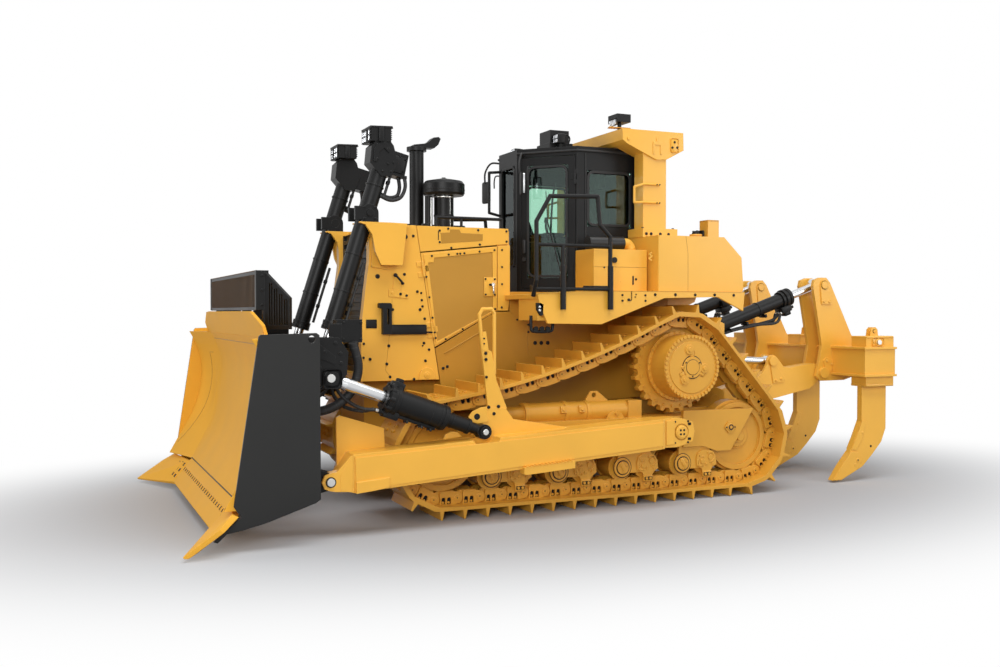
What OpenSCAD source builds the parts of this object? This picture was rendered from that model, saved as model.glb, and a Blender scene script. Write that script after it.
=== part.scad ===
// Large high-drive crawler dozer with a semi-U blade, twin lift cylinders and a
// three-shank ripper. X points forward, Y to the machine's left, Z up. Heights are
// above the ground; lengths are measured from the sprocket axle and the finished
// machine is then moved so that the origin is under the middle of its length.

/* [Tracks] */
// Distance between the centre lines of the two tracks
track_gauge = 2250; // [2230:5:2290]
// Width of a track shoe
shoe_width = 610; // [560:10:630]
// Aimed distance from pin to pin along the chain
shoe_pitch = 240; // [228:4:256]
// Height of the single grouser on each shoe
grouser_height = 84; // [60:2:95]
// Thickness of a shoe plate
shoe_plate = 25; // [18:1:32]
// Height of a chain link
link_height = 140; // [124:4:150]
// Tread radius of the idlers
idler_radius = 371; // [350:3:385]
// Pitch radius of the drive sprockets
sprocket_radius = 482.5; // [470:2.5:495]
// Height of the sprocket axle
sprocket_height = 1405; // [1385:5:1440]
// Front idler axle, ahead of the sprocket axle
front_idler_x = 2705; // [2640:5:2740]
// Rear idler axle, behind the sprocket axle
rear_idler_x = 765; // [740:5:790]
// Sag of the upper run of the chain
track_sag = 120; // [90:5:150]
// Number of teeth on a sprocket
sprocket_teeth = 25; // [21:2:29]

/* [Undercarriage] */
// Radius of the final drive hub
hub_radius = 340; // [320:5:360]
// How far the hub stands out beyond the track centre line
hub_reach = 375; // [340:5:400]
// Tread radius of the track rollers
roller_radius = 120; // [105:5:125]
// Distance between the two rollers of a bogie
roller_spacing = 300; // [290:2:320]
// Distance from bogie to bogie
bogie_pitch = 740; // [720:5:760]
// Radius of the recoil tube on each roller frame
recoil_radius = 108; // [95:3:114]
// Radius of the trunnion that carries a push arm
trunnion_radius = 85; // [70:5:95]

/* [Body] */
// Half the width of the engine bay and main frame
body_half_width = 620; // [600:5:640]
// Height of the belly above the ground
belly_height = 620; // [600:5:660]
// Top of the hood
hood_height = 2865; // [2840:5:2890]
// Thickness of the hood and door sheets
sheet = 24; // [16:2:30]
// Height of the fender deck above the grousers at the top of the sprocket
deck_gap = 133.5; // [125.5:2:141.5]
// Width over the fenders
fender_width = 2860; // [2800:10:2880]
// Height of the fuel tank above the deck
tank_rise = 590; // [540:10:630]

/* [Cab] */
// Half the width of the cab
cab_half_width = 760; // [740:5:780]
// Half the width of the windshield wall
cab_nose_half_width = 245; // [225:5:265]
// Height of the cab roof above the deck
cab_rise = 1570; // [1500:10:1640]
// Thickness of the cab walls
cab_wall = 50; // [40:2:56]
// Half the distance between the rollover posts
rops_half_span = 930; // [915:5:945]
// Height of the rollover canopy above the cab roof
canopy_rise = 170; // [150:5:190]

/* [Blade] */
// Width over the end bits
blade_width = 4310; // [4250:10:4350]
// Half the width of the straight middle of the blade
blade_flat_half = 1405; // [1385:5:1425]
// Forward angle of the blade wings
wing_angle = 17; // [15:1:19]
// Thickness of the moldboard
moldboard_plate = 45; // [30:5:50]
// Radius of the moldboard's lower curve
moldboard_radius = 1200; // [1150:10:1250]
// Distance between slats of the trash rack
slat_pitch = 60; // [50:2:70]

/* [Hydraulics] */
// Distance of the lift cylinders from the centre line
lift_y = 660; // [655:1:665]
// Radius of a lift cylinder barrel
lift_barrel_radius = 85; // [78:1:90]
// Radius of a lift cylinder rod
lift_rod_radius = 50; // [42:1:55]
// Radius of a tilt cylinder barrel
tilt_barrel_radius = 115; // [100:5:120]
// Radius of a tilt cylinder rod
tilt_rod_radius = 55; // [45:1:60]
// Radius of the ripper cylinder barrels
ripper_barrel_radius = 85; // [76:1:90]
// Radius of the ripper cylinder rods
ripper_rod_radius = 48; // [40:1:52]
// Radius of the ripper lift cylinder barrels
ripper_lift_radius = 70; // [62:1:74]

/* [Ripper] */
// Half the width of the ripper beam
beam_half_width = 1300; // [1280:5:1320]
// Distance of the outer shanks from the centre line
shank_y = 1150; // [1140:5:1160]
// Thickness of a shank
shank_plate = 75; // [65:5:85]
// Depth of a shank, front to back
shank_depth = 370; // [350:5:380]

/* [Hidden] */

$fn = 48;
yellow = [0.98, 0.70, 0.20];
dark = [0.16, 0.16, 0.15];
chrome = [0.85, 0.86, 0.88];
glass = [0.70, 0.92, 0.82];
eps = 0.3;                              // running gap between faces that meet

// ---- track path -------------------------------------------------------------
link_half = link_height / 2;
idler_z = grouser_height + shoe_plate + link_height + idler_radius;
wrap_idler = idler_radius + link_half;
idler_front = [front_idler_x, idler_z];
idler_rear = [-rear_idler_x, idler_z];
sprocket = [0, sprocket_height];

function direction(v) = atan2(v[1], v[0]);
function polar(c, r, a) = [c[0] + r * cos(a), c[1] + r * sin(a)];

upper_span = norm(idler_front - sprocket);
sag_radius = upper_span * upper_span / (8 * track_sag);
reach_front = sag_radius + wrap_idler;
reach_rear = sag_radius + sprocket_radius;
sag_along = (reach_front * reach_front - reach_rear * reach_rear + upper_span * upper_span)
    / (2 * upper_span);
sag_up = sqrt(reach_front * reach_front - sag_along * sag_along);
sag_dir = direction(sprocket - idler_front);
sag_centre = idler_front + sag_along * [cos(sag_dir), sin(sag_dir)]
    + sag_up * [sin(sag_dir), -cos(sag_dir)];
leave_front = direction(sag_centre - idler_front);
meet_sprocket = direction(sag_centre - sprocket);
rear_span = norm(idler_rear - sprocket);
leave_sprocket = 360 + direction(idler_rear - sprocket)
    - acos((sprocket_radius - wrap_idler) / rear_span);
rear_run = sqrt(rear_span * rear_span - pow(sprocket_radius - wrap_idler, 2));
per_degree = PI / 180;

// Columns: length of the stretch, start point or centre, start angle, signed radius.
// Radius 0 is a straight stretch; a negative radius curves the other way.
stretches = [
    [front_idler_x + rear_idler_x, idler_rear - [0, wrap_idler], 0, 0],
    [wrap_idler * (leave_front + 90) * per_degree, idler_front, -90, wrap_idler],
    [sag_radius * (leave_front - meet_sprocket) * per_degree, sag_centre,
        leave_front + 180, -sag_radius],
    [sprocket_radius * (leave_sprocket - meet_sprocket) * per_degree, sprocket,
        meet_sprocket, sprocket_radius],
    [rear_run, polar(sprocket, sprocket_radius, leave_sprocket), leave_sprocket + 90, 0],
    [wrap_idler * (270 - leave_sprocket) * per_degree, idler_rear, leave_sprocket, wrap_idler]];

function total(list, n) = n == 0 ? 0 : list[n - 1][0] + total(list, n - 1);
loop_length = total(stretches, len(stretches));
shoe_count = round(loop_length / shoe_pitch);
real_pitch = loop_length / shoe_count;

// Point and heading on the pin line at distance s round the loop
function on_stretch(row, s) =
    row[3] == 0
    ? [row[1] + s * [cos(row[2]), sin(row[2])], row[2]]
    : row[3] > 0
    ? [polar(row[1], row[3], row[2] + s / row[3] / per_degree),
        row[2] + s / row[3] / per_degree + 90]
    : [polar(row[1], -row[3], row[2] + s / row[3] / per_degree),
        row[2] + s / row[3] / per_degree - 90];
function on_loop(s, i = 0) =
    s <= stretches[i][0] || i == len(stretches) - 1
    ? on_stretch(stretches[i], s)
    : on_loop(s - stretches[i][0], i + 1);
// A point u ahead along the shoe and v out from the pin line
function off_path(place, u, v) =
    place[0] + u * [cos(place[1]), sin(place[1])] + v * [sin(place[1]), -cos(place[1])];
function shoe_place(i) = on_loop((i + 0.5) * real_pitch);
function joint_place(i) = on_loop(i * real_pitch);

deck_height = sprocket_height + sprocket_radius + link_half + shoe_plate + grouser_height + deck_gap;
tank_height = deck_height + tank_rise;
cab_height = deck_height + cab_rise;
rops_height = cab_height + canopy_rise;

shoe_half = real_pitch / 2 - 4;
shoe_out = link_half + shoe_plate;
rail_inner = 72;
rail_outer = 128;

// Shoes and grousers of one chain, as the outline of a closed band
function band_outline() = [for (i = [0 : shoe_count - 1], p = [
        [-shoe_half, shoe_out],
        [shoe_half - 44, shoe_out],
        [shoe_half - 26, shoe_out + grouser_height],
        [shoe_half - 10, shoe_out + grouser_height],
        [shoe_half, shoe_out]]) off_path(shoe_place(i), p[0], p[1])];
function band_inside() = [for (i = [0 : shoe_count - 1]) off_path(joint_place(i), 0, link_half - 8)];
function rail_outline() = [for (i = [0 : shoe_count - 1]) off_path(joint_place(i), 0, link_half + 10)];
function rail_inside() = [for (i = [0 : shoe_count - 1], p = [
        [-0.36 * real_pitch, -link_half],
        [0.36 * real_pitch, -link_half],
        [0.5 * real_pitch, -link_half + 26]]) off_path(shoe_place(i), p[0], p[1])];

// ---- helpers ------------------------------------------------------------------
// An outline in the X-Z plane drawn from y0 to y1
module profile(y0, y1) {
    translate([0, y1, 0]) rotate([90, 0, 0]) linear_extrude(y1 - y0) children();
}
module plate(points, y0, y1) {
    profile(y0, y1) polygon(points);
}
module block(x0, x1, y0, y1, z0, z1) {
    translate([x0, y0, z0]) cube([x1 - x0, y1 - y0, z1 - z0]);
}
// A cylinder across the machine at [x, z]
module across(at, r, y0, y1) {
    translate([at[0], y1, at[1]]) rotate([90, 0, 0]) cylinder(r = r, h = y1 - y0);
}
// Children drawn with their X axis from a towards b in the plane y
module aimed(a, b, y = 0) {
    translate([a[0], y, a[1]]) rotate([0, -direction(b - a), 0]) children();
}
// A cylinder along the local X axis
module bar(x0, x1, r) {
    translate([x0, 0, 0]) rotate([0, 90, 0]) cylinder(r = r, h = x1 - x0);
}
module both_sides() {
    children();
    mirror([0, 1, 0]) children();
}
module ring(outline, inside) {
    n = len(outline);
    polygon(concat(outline, inside),
        [[for (i = [0 : n - 1]) i], [for (i = [0 : len(inside) - 1]) n + i]]);
}

// ---- key places ------------------------------------------------------------------
track_y = track_gauge / 2;
frame_outer_y = track_y + 225;
frame_inner_y = track_y - 175;
trunnion = [285, 762];
arm_inner_y = 1530;
arm_outer_y = 1800;
arm_y = (arm_inner_y + arm_outer_y) / 2;
blade_pin = [3945, 497];
tilt_rear = [2465, 865];
tilt_front = [3945, 1408];
tilt_y = 1690;
lift_trunnion = [3285, 2960];
lift_eye = [3985, 748];
ripper_low_pivot = [-850, 976];
ripper_low_pin = [-2402, 1250];
ripper_high_pivot = [-850, 1785];
ripper_high_pin = [-2405, 2310];
ripper_lift_pivot = [-405, 1480];
ripper_lift_pin = [-1690, 1400];
ripper_y = 605;

// ---- undercarriage ------------------------------------------------------------------
module track() {
    color(yellow) union() {
        translate([0, track_y, 0]) {
            profile(-shoe_width / 2, shoe_width / 2) ring(band_outline(), band_inside());
            for (y = [rail_inner, -rail_outer])
                profile(y, y + rail_outer - rail_inner) ring(rail_outline(), rail_inside());
        }
    }
}

module idler(at) {
    translate([at[0], track_y, at[1]]) rotate([90, 0, 0]) difference() {
        union() {
            cylinder(r = idler_radius - eps, h = 248, center = true, $fn = 96);
            cylinder(r = idler_radius + 24, h = 2 * (rail_inner - 6), center = true, $fn = 96);
            cylinder(r = 45, h = 2 * (frame_outer_y - 30 - track_y), center = true);
        }
        for (s = [-1, 1]) translate([0, 0, s * 124]) difference() {
            cylinder(r = idler_radius - 55, h = 60, center = true, $fn = 96);
            cylinder(r = 140, h = 62, center = true);
        }
    }
}

module roller(x) {
    z = idler_z - idler_radius + roller_radius;
    translate([x, track_y, z + eps]) rotate([90, 0, 0]) {
        cylinder(r = roller_radius, h = 2 * 132, center = true);
        for (s = [-1, 1]) translate([0, 0, s * 145]) cylinder(r = roller_radius + 18, h = 24, center = true);
        cylinder(r = 46, h = 2 * 200, center = true);
    }
}

bogie_front_x = 2065;
bogie_z = idler_z - idler_radius + roller_radius;
module bogie(i) {
    x = bogie_front_x - i * bogie_pitch;
    for (dx = [-1, 1]) roller(x + dx * roller_spacing / 2);
}

module track_wheels() {
    color(yellow) {
        idler(idler_front);
        idler(idler_rear);
        for (i = [0 : 3]) bogie(i);
    }
}

// Box beam with a fork round each idler, the recoil tube and the trunnion
module roller_frame() {
    top = 880;
    bottom = 545;
    color(yellow) difference() {
        union() {
            block(-300, 2260, frame_inner_y, frame_outer_y - 30, bottom, top);
            for (y = [frame_inner_y, frame_outer_y - 45])
                plate([[-907, 925], [-720, 640], [-611, 482], [-430, 482], [-250, 545], [0, 545],
                    [0, 935]], y, y + 45);
            for (y = [frame_inner_y, frame_outer_y - 75])
                plate([[2100, 545], [2500, 545], [2830, 560], [2830, 690], [2500, 860], [2100, 880]],
                    y, y + 45);
            translate([0, track_y + 45, 955]) rotate([0, 90, 0])
                translate([0, 0, 560]) cylinder(r = recoil_radius, h = 1240);
            block(480, 640, track_y - 70, track_y + 160, 870, 1060);
            for (x = [1080, 1330, 1780])
                translate([x, track_y + 45, 955]) rotate([0, 90, 0]) cylinder(r = recoil_radius + 9, h = 40);
            plate([[812, 1050], [955, 1165], [1035, 1165], [1108, 1050]], track_y + 33, track_y + 57);
            translate([1810, track_y + 45, 955]) rotate([0, 90, 0]) cylinder(r = 80, h = 330);
            block(2100, 2170, track_y - 70, track_y + 140, 870, 1035);
            across(trunnion, trunnion_radius, frame_outer_y - 60, arm_outer_y - 70);
            for (i = [0 : 3]) let (x = bogie_front_x - i * bogie_pitch)
                for (y = [track_y - 200, track_y + 162])
                    plate([[x - 190, 560], [x - 215, bogie_z - 30], [x - 150, bogie_z - 62],
                        [x + 150, bogie_z - 62], [x + 215, bogie_z - 30], [x + 190, 560]], y, y + 38);
        }
        for (x = [-rear_idler_x, front_idler_x])
            across([x, idler_z], 45 + eps, frame_inner_y - 10, frame_outer_y + 10);
        for (i = [0 : 3], dx = [-1, 1])
            across([bogie_front_x - i * bogie_pitch + dx * roller_spacing / 2, bogie_z + eps],
                46 + eps, track_y - 210, frame_outer_y + 10);
        across([995, 1122], 26, track_y, track_y + 90);
    }
}

module final_drives() {
    root = sprocket_radius - 22;
    color(yellow) both_sides() translate([0, 0, sprocket_height]) rotate([90, 0, 0]) mirror([0, 0, 1]) {
        translate([0, 0, track_y - 45]) linear_extrude(90) difference() {
            polygon([for (i = [0 : sprocket_teeth - 1], p = [
                    [-0.5, root], [-0.30, root], [-0.14, sprocket_radius + 20],
                    [0.14, sprocket_radius + 20], [0.30, root]])
                polar([0, 0], p[1], (i + p[0]) * 360 / sprocket_teeth)]);
            circle(r = hub_radius - 10);
        }
        translate([0, 0, track_y - 55]) cylinder(r = hub_radius, h = hub_reach + 55, $fn = 96);
        translate([0, 0, body_half_width]) cylinder(r = 255, h = track_y - 55 - body_half_width);
    }
}

// ---- body ------------------------------------------------------------------------------
guard_rear_top = 2750;
guard_rear_bottom = 2490;
function guard_rear(z) = guard_rear_bottom
    + (z - 1232) * (guard_rear_top - guard_rear_bottom) / (2867 - 1232);

door_foot_front = 1625;
door_foot_rear = 2000;
door_rear_x = 1862;

case_rear = -270;
module main_frame() {
    w = body_half_width;
    color(yellow) union() {
        plate([[-560, 900], [-420, belly_height + 60], [0, belly_height], [3000, belly_height],
            [3250, 720], [3250, 1290], [-560, 1290]], -440, 440);
        plate([[-450, 1000], [1650, 1000], [1650, deck_height], [-450, deck_height]], -440, 440);
        plate([[case_rear, 1050], [1700, 960], [1700, deck_height], [case_rear, deck_height]], -w, w);
        for (y = [-w, w - 40])
            plate([[1600, 960], [guard_rear(960) - 8, 960], [guard_rear(1600) - 8, 1608],
                [door_rear_x, door_foot_rear - 12], [1600, door_foot_rear - 12]], y, y + 40);
        block(1650, 2480, -w, w, 960, 1290);
        across(trunnion, 110, -frame_inner_y, frame_inner_y);
        block(2380, 2480, -frame_inner_y, frame_inner_y, 700, 820);
    }
}

// Bolted to the rear of the case: a pair of plates each side for the ripper's pins
module ripper_brackets() {
    color(yellow) both_sides() difference() {
        union() {
            block(case_rear - 40, case_rear - eps, 442, ripper_y + 125, 1070, 1900);
            for (y = [ripper_y - 125, ripper_y + 85])
                plate([[case_rear - 20, 1070], [-560, 860], [-850, 850], [-970, 950], [-970, 1080],
                    [-700, 1180], [-700, 1560], [-970, 1720], [-970, 1850], [-850, 1900],
                    [case_rear - 20, 1900]], y, y + 40);
        }
        across(ripper_low_pivot, 60 + eps, 400, 800);
        across(ripper_high_pivot, 45 + eps, 400, 800);
        across(ripper_lift_pivot, 38 + eps, 400, 800);
    }
}

module engine_block() {
    color(dark) block(1880, 2440, -400, 400, 1290, 2480);
}

yoke_r = 88;
yoke_foot = lift_trunnion[1] - yoke_r - eps;
module radiator_guard() {
    w = body_half_width;
    wall = w - (lift_y - lift_barrel_radius - 48);
    side = [[3250, 1290], [3336, 1290], [3325, 1850], [3285, 2200], [3245, 2500], [3246, 2700],
        [3130, 2867], [guard_rear_top, 2867], [guard_rear(1290), 1290]];
    color(yellow) union() {
        for (y = [-w, w - wall]) plate(side, y, y + wall);
        plate([[3130, 2867], [guard_rear_top, 2867], [guard_rear_top - 8, 2820], [3150, 2820]], -w, w);
        plate([[3336, 1290], [3250, 1290], [guard_rear(1290), 1290], [guard_rear(1350), 1350],
            [3334, 1350]], -w, w);
        both_sides() {
            door_hinge_frame() for (h = [150, 780]) {
                knuckle(h + 60 + eps, h + 110, 1);
                knuckle(h - 50, h - eps, 1);
            }
            for (y = [lift_y - lift_barrel_radius - 48, lift_y + lift_barrel_radius + 8])
                plate([[2950, 2450], [3170, 2450], [3232, 2580], [3263, 2749], [3330, 2845],
                    [3390, 2860], [3390, yoke_foot], [3060, yoke_foot], [2900, 2867]], y, y + 40);
            plate([[2900, 2867], [2950, 2450], [3140, 2450], [3150, 2700], [3110, 2867]],
                w - wall, lift_y + lift_barrel_radius + 48);
        }
    }
}

module radiator_grille() {
    w = lift_y - lift_barrel_radius - 48;
    color(dark) difference() {
        block(3130, 3200, -w + eps, w - eps, 1350 + eps, 2820 - eps);
        for (z = [1410 : 90 : 2760])
            block(3175, 3201, -w + 40, w - 40, z, z + 50);
    }
}

// Bearing blocks on the forks of the radiator guard, one each side of a barrel
module lift_yokes() {
    color(dark) both_sides() for (y = [lift_y - lift_barrel_radius - 48, lift_y + lift_barrel_radius + 8])
        difference() {
            union() {
                across(lift_trunnion, yoke_r, y, y + 40);
                block(lift_trunnion[0], lift_trunnion[0] + yoke_r + 62, y, y + 40,
                    lift_trunnion[1] - 70, lift_trunnion[1] + 64);
                block(lift_trunnion[0] - yoke_r, lift_trunnion[0] + yoke_r - 10, y, y + 40, yoke_foot + eps,
                    lift_trunnion[1]);
            }
            across(lift_trunnion, 45 + eps, y - 1, y + 41);
        }
}

module hood() {
    w = body_half_width;
    top = hood_height;
    color(yellow) union() {
        plate([[1718, top], [1718, top - sheet], [guard_rear(top - sheet) - 6, top - sheet],
            [guard_rear(top) - 6, top]], -w, w);
        for (y = [-w, w - sheet])
            plate([[1718, top], [1718, 2705], [guard_rear(2600) - 6, 2600], [guard_rear(top) - 6, top]],
                y, y + sheet);
        plate([[1700, top - sheet + 1], [1700, 2158], [1840, 2158], [1840, top - sheet + 1]],
            -w + sheet - 1, w - sheet + 1);
        both_sides() plate([[1700, 2690], [1700, 2158], [1720, 2000], [1840, 2000], [1840, 2678]],
            w - 120, w);
    }
}

door_front_low = [guard_rear(door_foot_front) - 6, door_foot_front];
door_front_high = [guard_rear(2588) - 6, 2588];
hinge_r = 13;
hinge_slant = 90 - direction(door_front_high - door_front_low);
// Children with Z along the slanted hinge line of the left engine door
module door_hinge_frame() {
    translate([door_front_low[0] + 3, body_half_width + hinge_r + 1, door_front_low[1]])
        rotate([0, hinge_slant, 0]) children();
}
// A knuckle from h0 to h1 up the hinge line, with a leaf towards side
module knuckle(h0, h1, side) {
    translate([0, 0, h0]) cylinder(r = hinge_r, h = h1 - h0);
    translate([side > 0 ? 0 : -60, -hinge_r - 2, h0]) cube([60, 8, h1 - h0]);
}
module engine_door() {
    color(yellow) union() {
        plate([door_front_low, [door_rear_x - 14, door_foot_rear], [door_rear_x - 14, 2676],
            door_front_high], body_half_width - sheet, body_half_width);
        door_hinge_frame() for (h = [150, 780]) knuckle(h, h + 60, -1);
    }
}

stack_at = [2488, -110];
module exhaust_stack() {
    color(dark) translate([stack_at[0], stack_at[1], 0]) difference() {
        union() {
            translate([0, 0, hood_height + eps]) cylinder(r = 78, h = 900);
            translate([0, 0, 3735]) cylinder(r = 108, h = 44);
            plate([[50, 3770], [-185, 3775], [-230, 3815], [-258, 3880], [-236, 3900], [-175, 3890],
                [-135, 3850], [-80, 3820], [50, 3800]], -64, 64);
        }
        translate([0, 0, 3000]) cylinder(r = 66, h = 700);
    }
}

module air_precleaner() {
    color(dark) {
        translate([2254, 110, hood_height + eps]) rotate_extrude($fn = 64)
            polygon([[0, 0], [106, 0], [106, 372], [212, 376], [226, 400], [226, 498], [200, 530],
                [98, 550], [0, 552]]);
        translate([2428, 110, hood_height + eps]) cylinder(r = 42, h = 365);
    }
}

// ---- cab --------------------------------------------------------------------------
cab_floor = deck_height + eps;
cab_rear_x = 170;
cab_hinge_x = 970;
cab_nose_x = 1445;
cab_roof_under = cab_height - 60;
taper = direction([cab_nose_x - cab_hinge_x, cab_nose_half_width - cab_half_width]);
door_length = norm([cab_nose_x - cab_hinge_x, cab_half_width - cab_nose_half_width]);
door_bottom = cab_floor + 45;
door_top = cab_roof_under - 40;
door_start = 24;
door_end = door_length - 60;

// Plan of the cab, shrunk by d on every wall
function cab_plan(d) = let (
        back = d * (1 + sin(taper)) / cos(taper),
        side_shift = -d * (1 - cos(taper)) / sin(taper),
        x1 = cab_hinge_x - d * (1 - cos(taper)) / (-sin(taper)),
        y1 = cab_half_width - d,
        x2 = cab_nose_x - d,
        y2 = cab_nose_half_width - d * (1 + sin(taper)) / cos(taper))
    [[cab_rear_x + d, y1], [cab_rear_x + d, -y1], [x1, -y1], [x2, -y2], [x2, y2], [x1, y1]];

// Children in the frame of the left door: X along the leaf from the hinge, Y outwards
module door_frame() {
    translate([cab_hinge_x, cab_half_width, 0]) rotate([0, 0, taper]) children();
}

module cab_shell() {
    color(dark) difference() {
        translate([0, 0, cab_floor]) linear_extrude(cab_height - cab_floor) polygon(cab_plan(0));
        translate([0, 0, cab_floor + 40]) linear_extrude(cab_roof_under - cab_floor - 40)
            polygon(cab_plan(cab_wall));
        both_sides() {
            door_frame() block(door_start - 6, door_end + 6, -cab_wall - 20, 60, door_bottom - 6, door_top + 6);
            block(300, 850, cab_half_width - cab_wall - 1, cab_half_width + 1, cab_height - 860, cab_height - 255);
        }
        block(cab_nose_x - cab_wall - 1, cab_nose_x + 1, -185, 185, deck_height + 280, cab_height - 170);
        block(cab_rear_x - 1, cab_rear_x + cab_wall + 1, -600, 600, cab_height - 870, cab_height - 210);
    }
    color(dark) both_sides() door_frame() for (z = [door_bottom + 150, door_top - 260]) {
        cab_knuckle(z + 60 + eps, 50, -1);
        cab_knuckle(z - 50 - eps, 50, -1);
    }
}

module cab_glass() {
    g = 8;
    color(glass) {
        both_sides() block(300 + eps, 850 - eps, cab_half_width - 30, cab_half_width - 30 + g,
            cab_height - 860 + eps, cab_height - 255 - eps);
        block(cab_nose_x - 30, cab_nose_x - 30 + g, -185 + eps, 185 - eps, deck_height + 280 + eps,
            cab_height - 170 - eps);
        block(cab_rear_x + 22, cab_rear_x + 22 + g, -600 + eps, 600 - eps, cab_height - 870 + eps,
            cab_height - 210 - eps);
    }
}

module cab_knuckle(z, h, side) {
    translate([door_start - 3, hinge_r + 1, z]) {
        cylinder(r = hinge_r, h = h);
        translate([side > 0 ? 0 : -18, -hinge_r - 2, 0]) cube([side > 0 ? 50 : 18, 8, h]);
    }
}
module cab_door() {
    color(dark) door_frame() {
        difference() {
            block(door_start, door_end, -cab_wall + 10, 0, door_bottom, door_top);
            block(door_start + 80, door_end - 60, -cab_wall, 1, door_bottom + 110, door_top - 90);
        }
        for (z = [door_bottom + 150, door_top - 260]) cab_knuckle(z, 60, 1);
    }
}

module door_glass() {
    color(glass) door_frame()
        block(door_start + 80 + eps, door_end - 60 - eps, -25, -17, door_bottom + 110 + eps, door_top - 90 - eps);
}

module operator_seat() {
    z = cab_floor + 40;
    color(dark) {
        plate([[420, z], [820, z], [820, z + 120], [760, z + 330], [860, z + 430], [880, z + 520],
            [420, z + 480], [330, z + 1150], [250, z + 1140], [300, z + 420], [420, z + 330]], -240, 240);
        both_sides() block(350, 800, 260, 460, z, z + 620);
        plate([[255, z + 1165], [325, z + 1170], [345, z + 1340], [275, z + 1340]], -130, 130);
        both_sides() block(280, 300, 60, 80, z + 1100, z + 1200);
    }
}

module rops() {
    post_in = rops_half_span - 90;
    post_out = rops_half_span + 90;
    foot = tank_height + 95;
    top = rops_height;
    color(yellow) union() {
        difference() {
            union() {
                both_sides() {
                    block(16, 306, post_in, post_out, foot - 10, top - 180);
                    block(-93, 345, cab_half_width + 10, post_out + 60, tank_height + eps, foot);
                }
                plate([[575, top], [-190, top], [-195, top - 190], [20, top - 300], [150, top - 310],
                    [520, top - 155], [570, top - 120]], -post_out - 20, post_out + 20);
            }
            plate([[500, top - 100], [-120, top - 60], [-120, top - 170], [20, top - 320],
                [160, top - 330], [500, top - 190]], -post_in + 60, post_in - 60);
        }
        // grab loops on the posts
        both_sides() tubes([[110, post_out + 6, foot + 478], [300, post_out + 14, foot + 478],
            [424, post_out + 14, foot + 442], [424, post_out + 14, foot + 275],
            [300, post_out + 14, foot + 282], [110, post_out + 6, foot + 282]], 13);
    }
}

module work_lamps() {
    color(dark) {
        translate([415, 700, rops_height + eps]) cylinder(r = 22, h = 120);
        block(330, 500, 600, 800, rops_height + 118, rops_height + 205);
        block(900, 1180, 200, 520, cab_height + eps, cab_height + 60);
        block(930, 1160, 230, 490, cab_height + 50, cab_height + 200);
        // grab loop on the windshield post
        tubes([[cab_nose_x + 7.5, -205, cab_height - 192], [cab_nose_x + 140, -205, cab_height - 205],
            [cab_nose_x + 140, -205, cab_height - 660], [cab_nose_x + 9.3, -205, cab_height - 690]], 16);
    }
}

// ---- deck, tank and rails --------------------------------------------------------------
fender_y = fender_width / 2;
module fenders() {
    top = deck_height;
    color(yellow) both_sides() {
        union() {
            plate([[-725, top], [-725, top - 44], [1755, top - 84], [1763, top - 40], [1200, top]],
                body_half_width + eps, fender_y);
            plate([[-725, top], [1200, top], [1763, top - 40], [1740, top - 150],
                [1653, top - 329], [1046, top - 339], [295, top - 70], [-380, top - 55],
                [-706, top - 204]], fender_y - 30, fender_y);
            block(1560, 1740, fender_y - 500, fender_y - 60, top - 300, top - 60);
        }
    }
}

module fuel_tank() {
    w = fender_y - 45;
    color(yellow) difference() {
        plate([[340, deck_height + eps], [340, tank_height], [-487, tank_height],
            [-715, tank_height - 215], [-742, deck_height + 30], [-725, deck_height + eps]], -w, w);
        block(cab_rear_x - 8, 400, -cab_half_width - 8, cab_half_width + 8, deck_height - 50,
            tank_height + 50);
        both_sides() translate([340, w, 0]) rotate([0, 0, 40]) block(-5, 400, -400, 400,
            deck_height - 50, tank_height + 50);
    }
    color(yellow) both_sides() {
        translate([-380, 1010, tank_height + eps]) cylinder(r = 62, h = 36);
        block(-650, -505, 900, 1060, tank_height - 60, tank_height + 205);
    }
}

module side_boxes() {
    color(yellow) both_sides()
        block(380, 1020, cab_half_width + 60, 1220, deck_height + eps, tank_height - 150);
    // receiver lying on each box, with its elbow
    color(dark) both_sides() translate([0, 1010, tank_height - 74 + eps]) rotate([0, 90, 0])
        translate([0, 0, 560]) cylinder(r = 76, h = 420);
}

rail_r = 22;
module tube(a, b, r) {
    d = b - a;
    over = r * 0.35;
    translate(a) rotate([0, acos(d[2] / norm(d)), atan2(d[1], d[0])])
        translate([0, 0, -over]) cylinder(r = r, h = norm(d) + 2 * over, $fn = 12);
}
module tubes(points, r) {
    for (i = [0 : len(points) - 2]) tube(points[i], points[i + 1], r);
}
module handrails() {
    y = fender_y + rail_r + eps;
    base = deck_height;
    color(dark) both_sides() {
        tubes([[1790, y - 70, base - 50], [1790, y, base + 100], [1790, y, base + 680],
            [1640, y, base + 930], [1105, y, base + 950], [1080, y, base + 665],
            [958, y, base + 545], [958, y, base - 175]], rail_r);
        tubes([[1790, y, base + 450], [958, y, base + 450]], rail_r - 4);
        tubes([[1498, y, base + 450], [1498, y, base - 175]], rail_r - 2);
        for (x = [958, 1498]) tubes([[x, y + 7, base - 180], [x, y + 7, base + 240]], rail_r + 7);
        tubes([[1790, y, base + 15], [958, y, base + 15]], rail_r - 6);
        // rail along the hood
        tubes([[2500, 540, hood_height + eps + 6], [2500, 540, 2967], [1760, 540, 2967],
            [1760, 540, hood_height + eps + 6]], 17);
        tubes([[2221, 540, hood_height + eps + 6], [2221, 540, 2967]], 15);
    }
}

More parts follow.
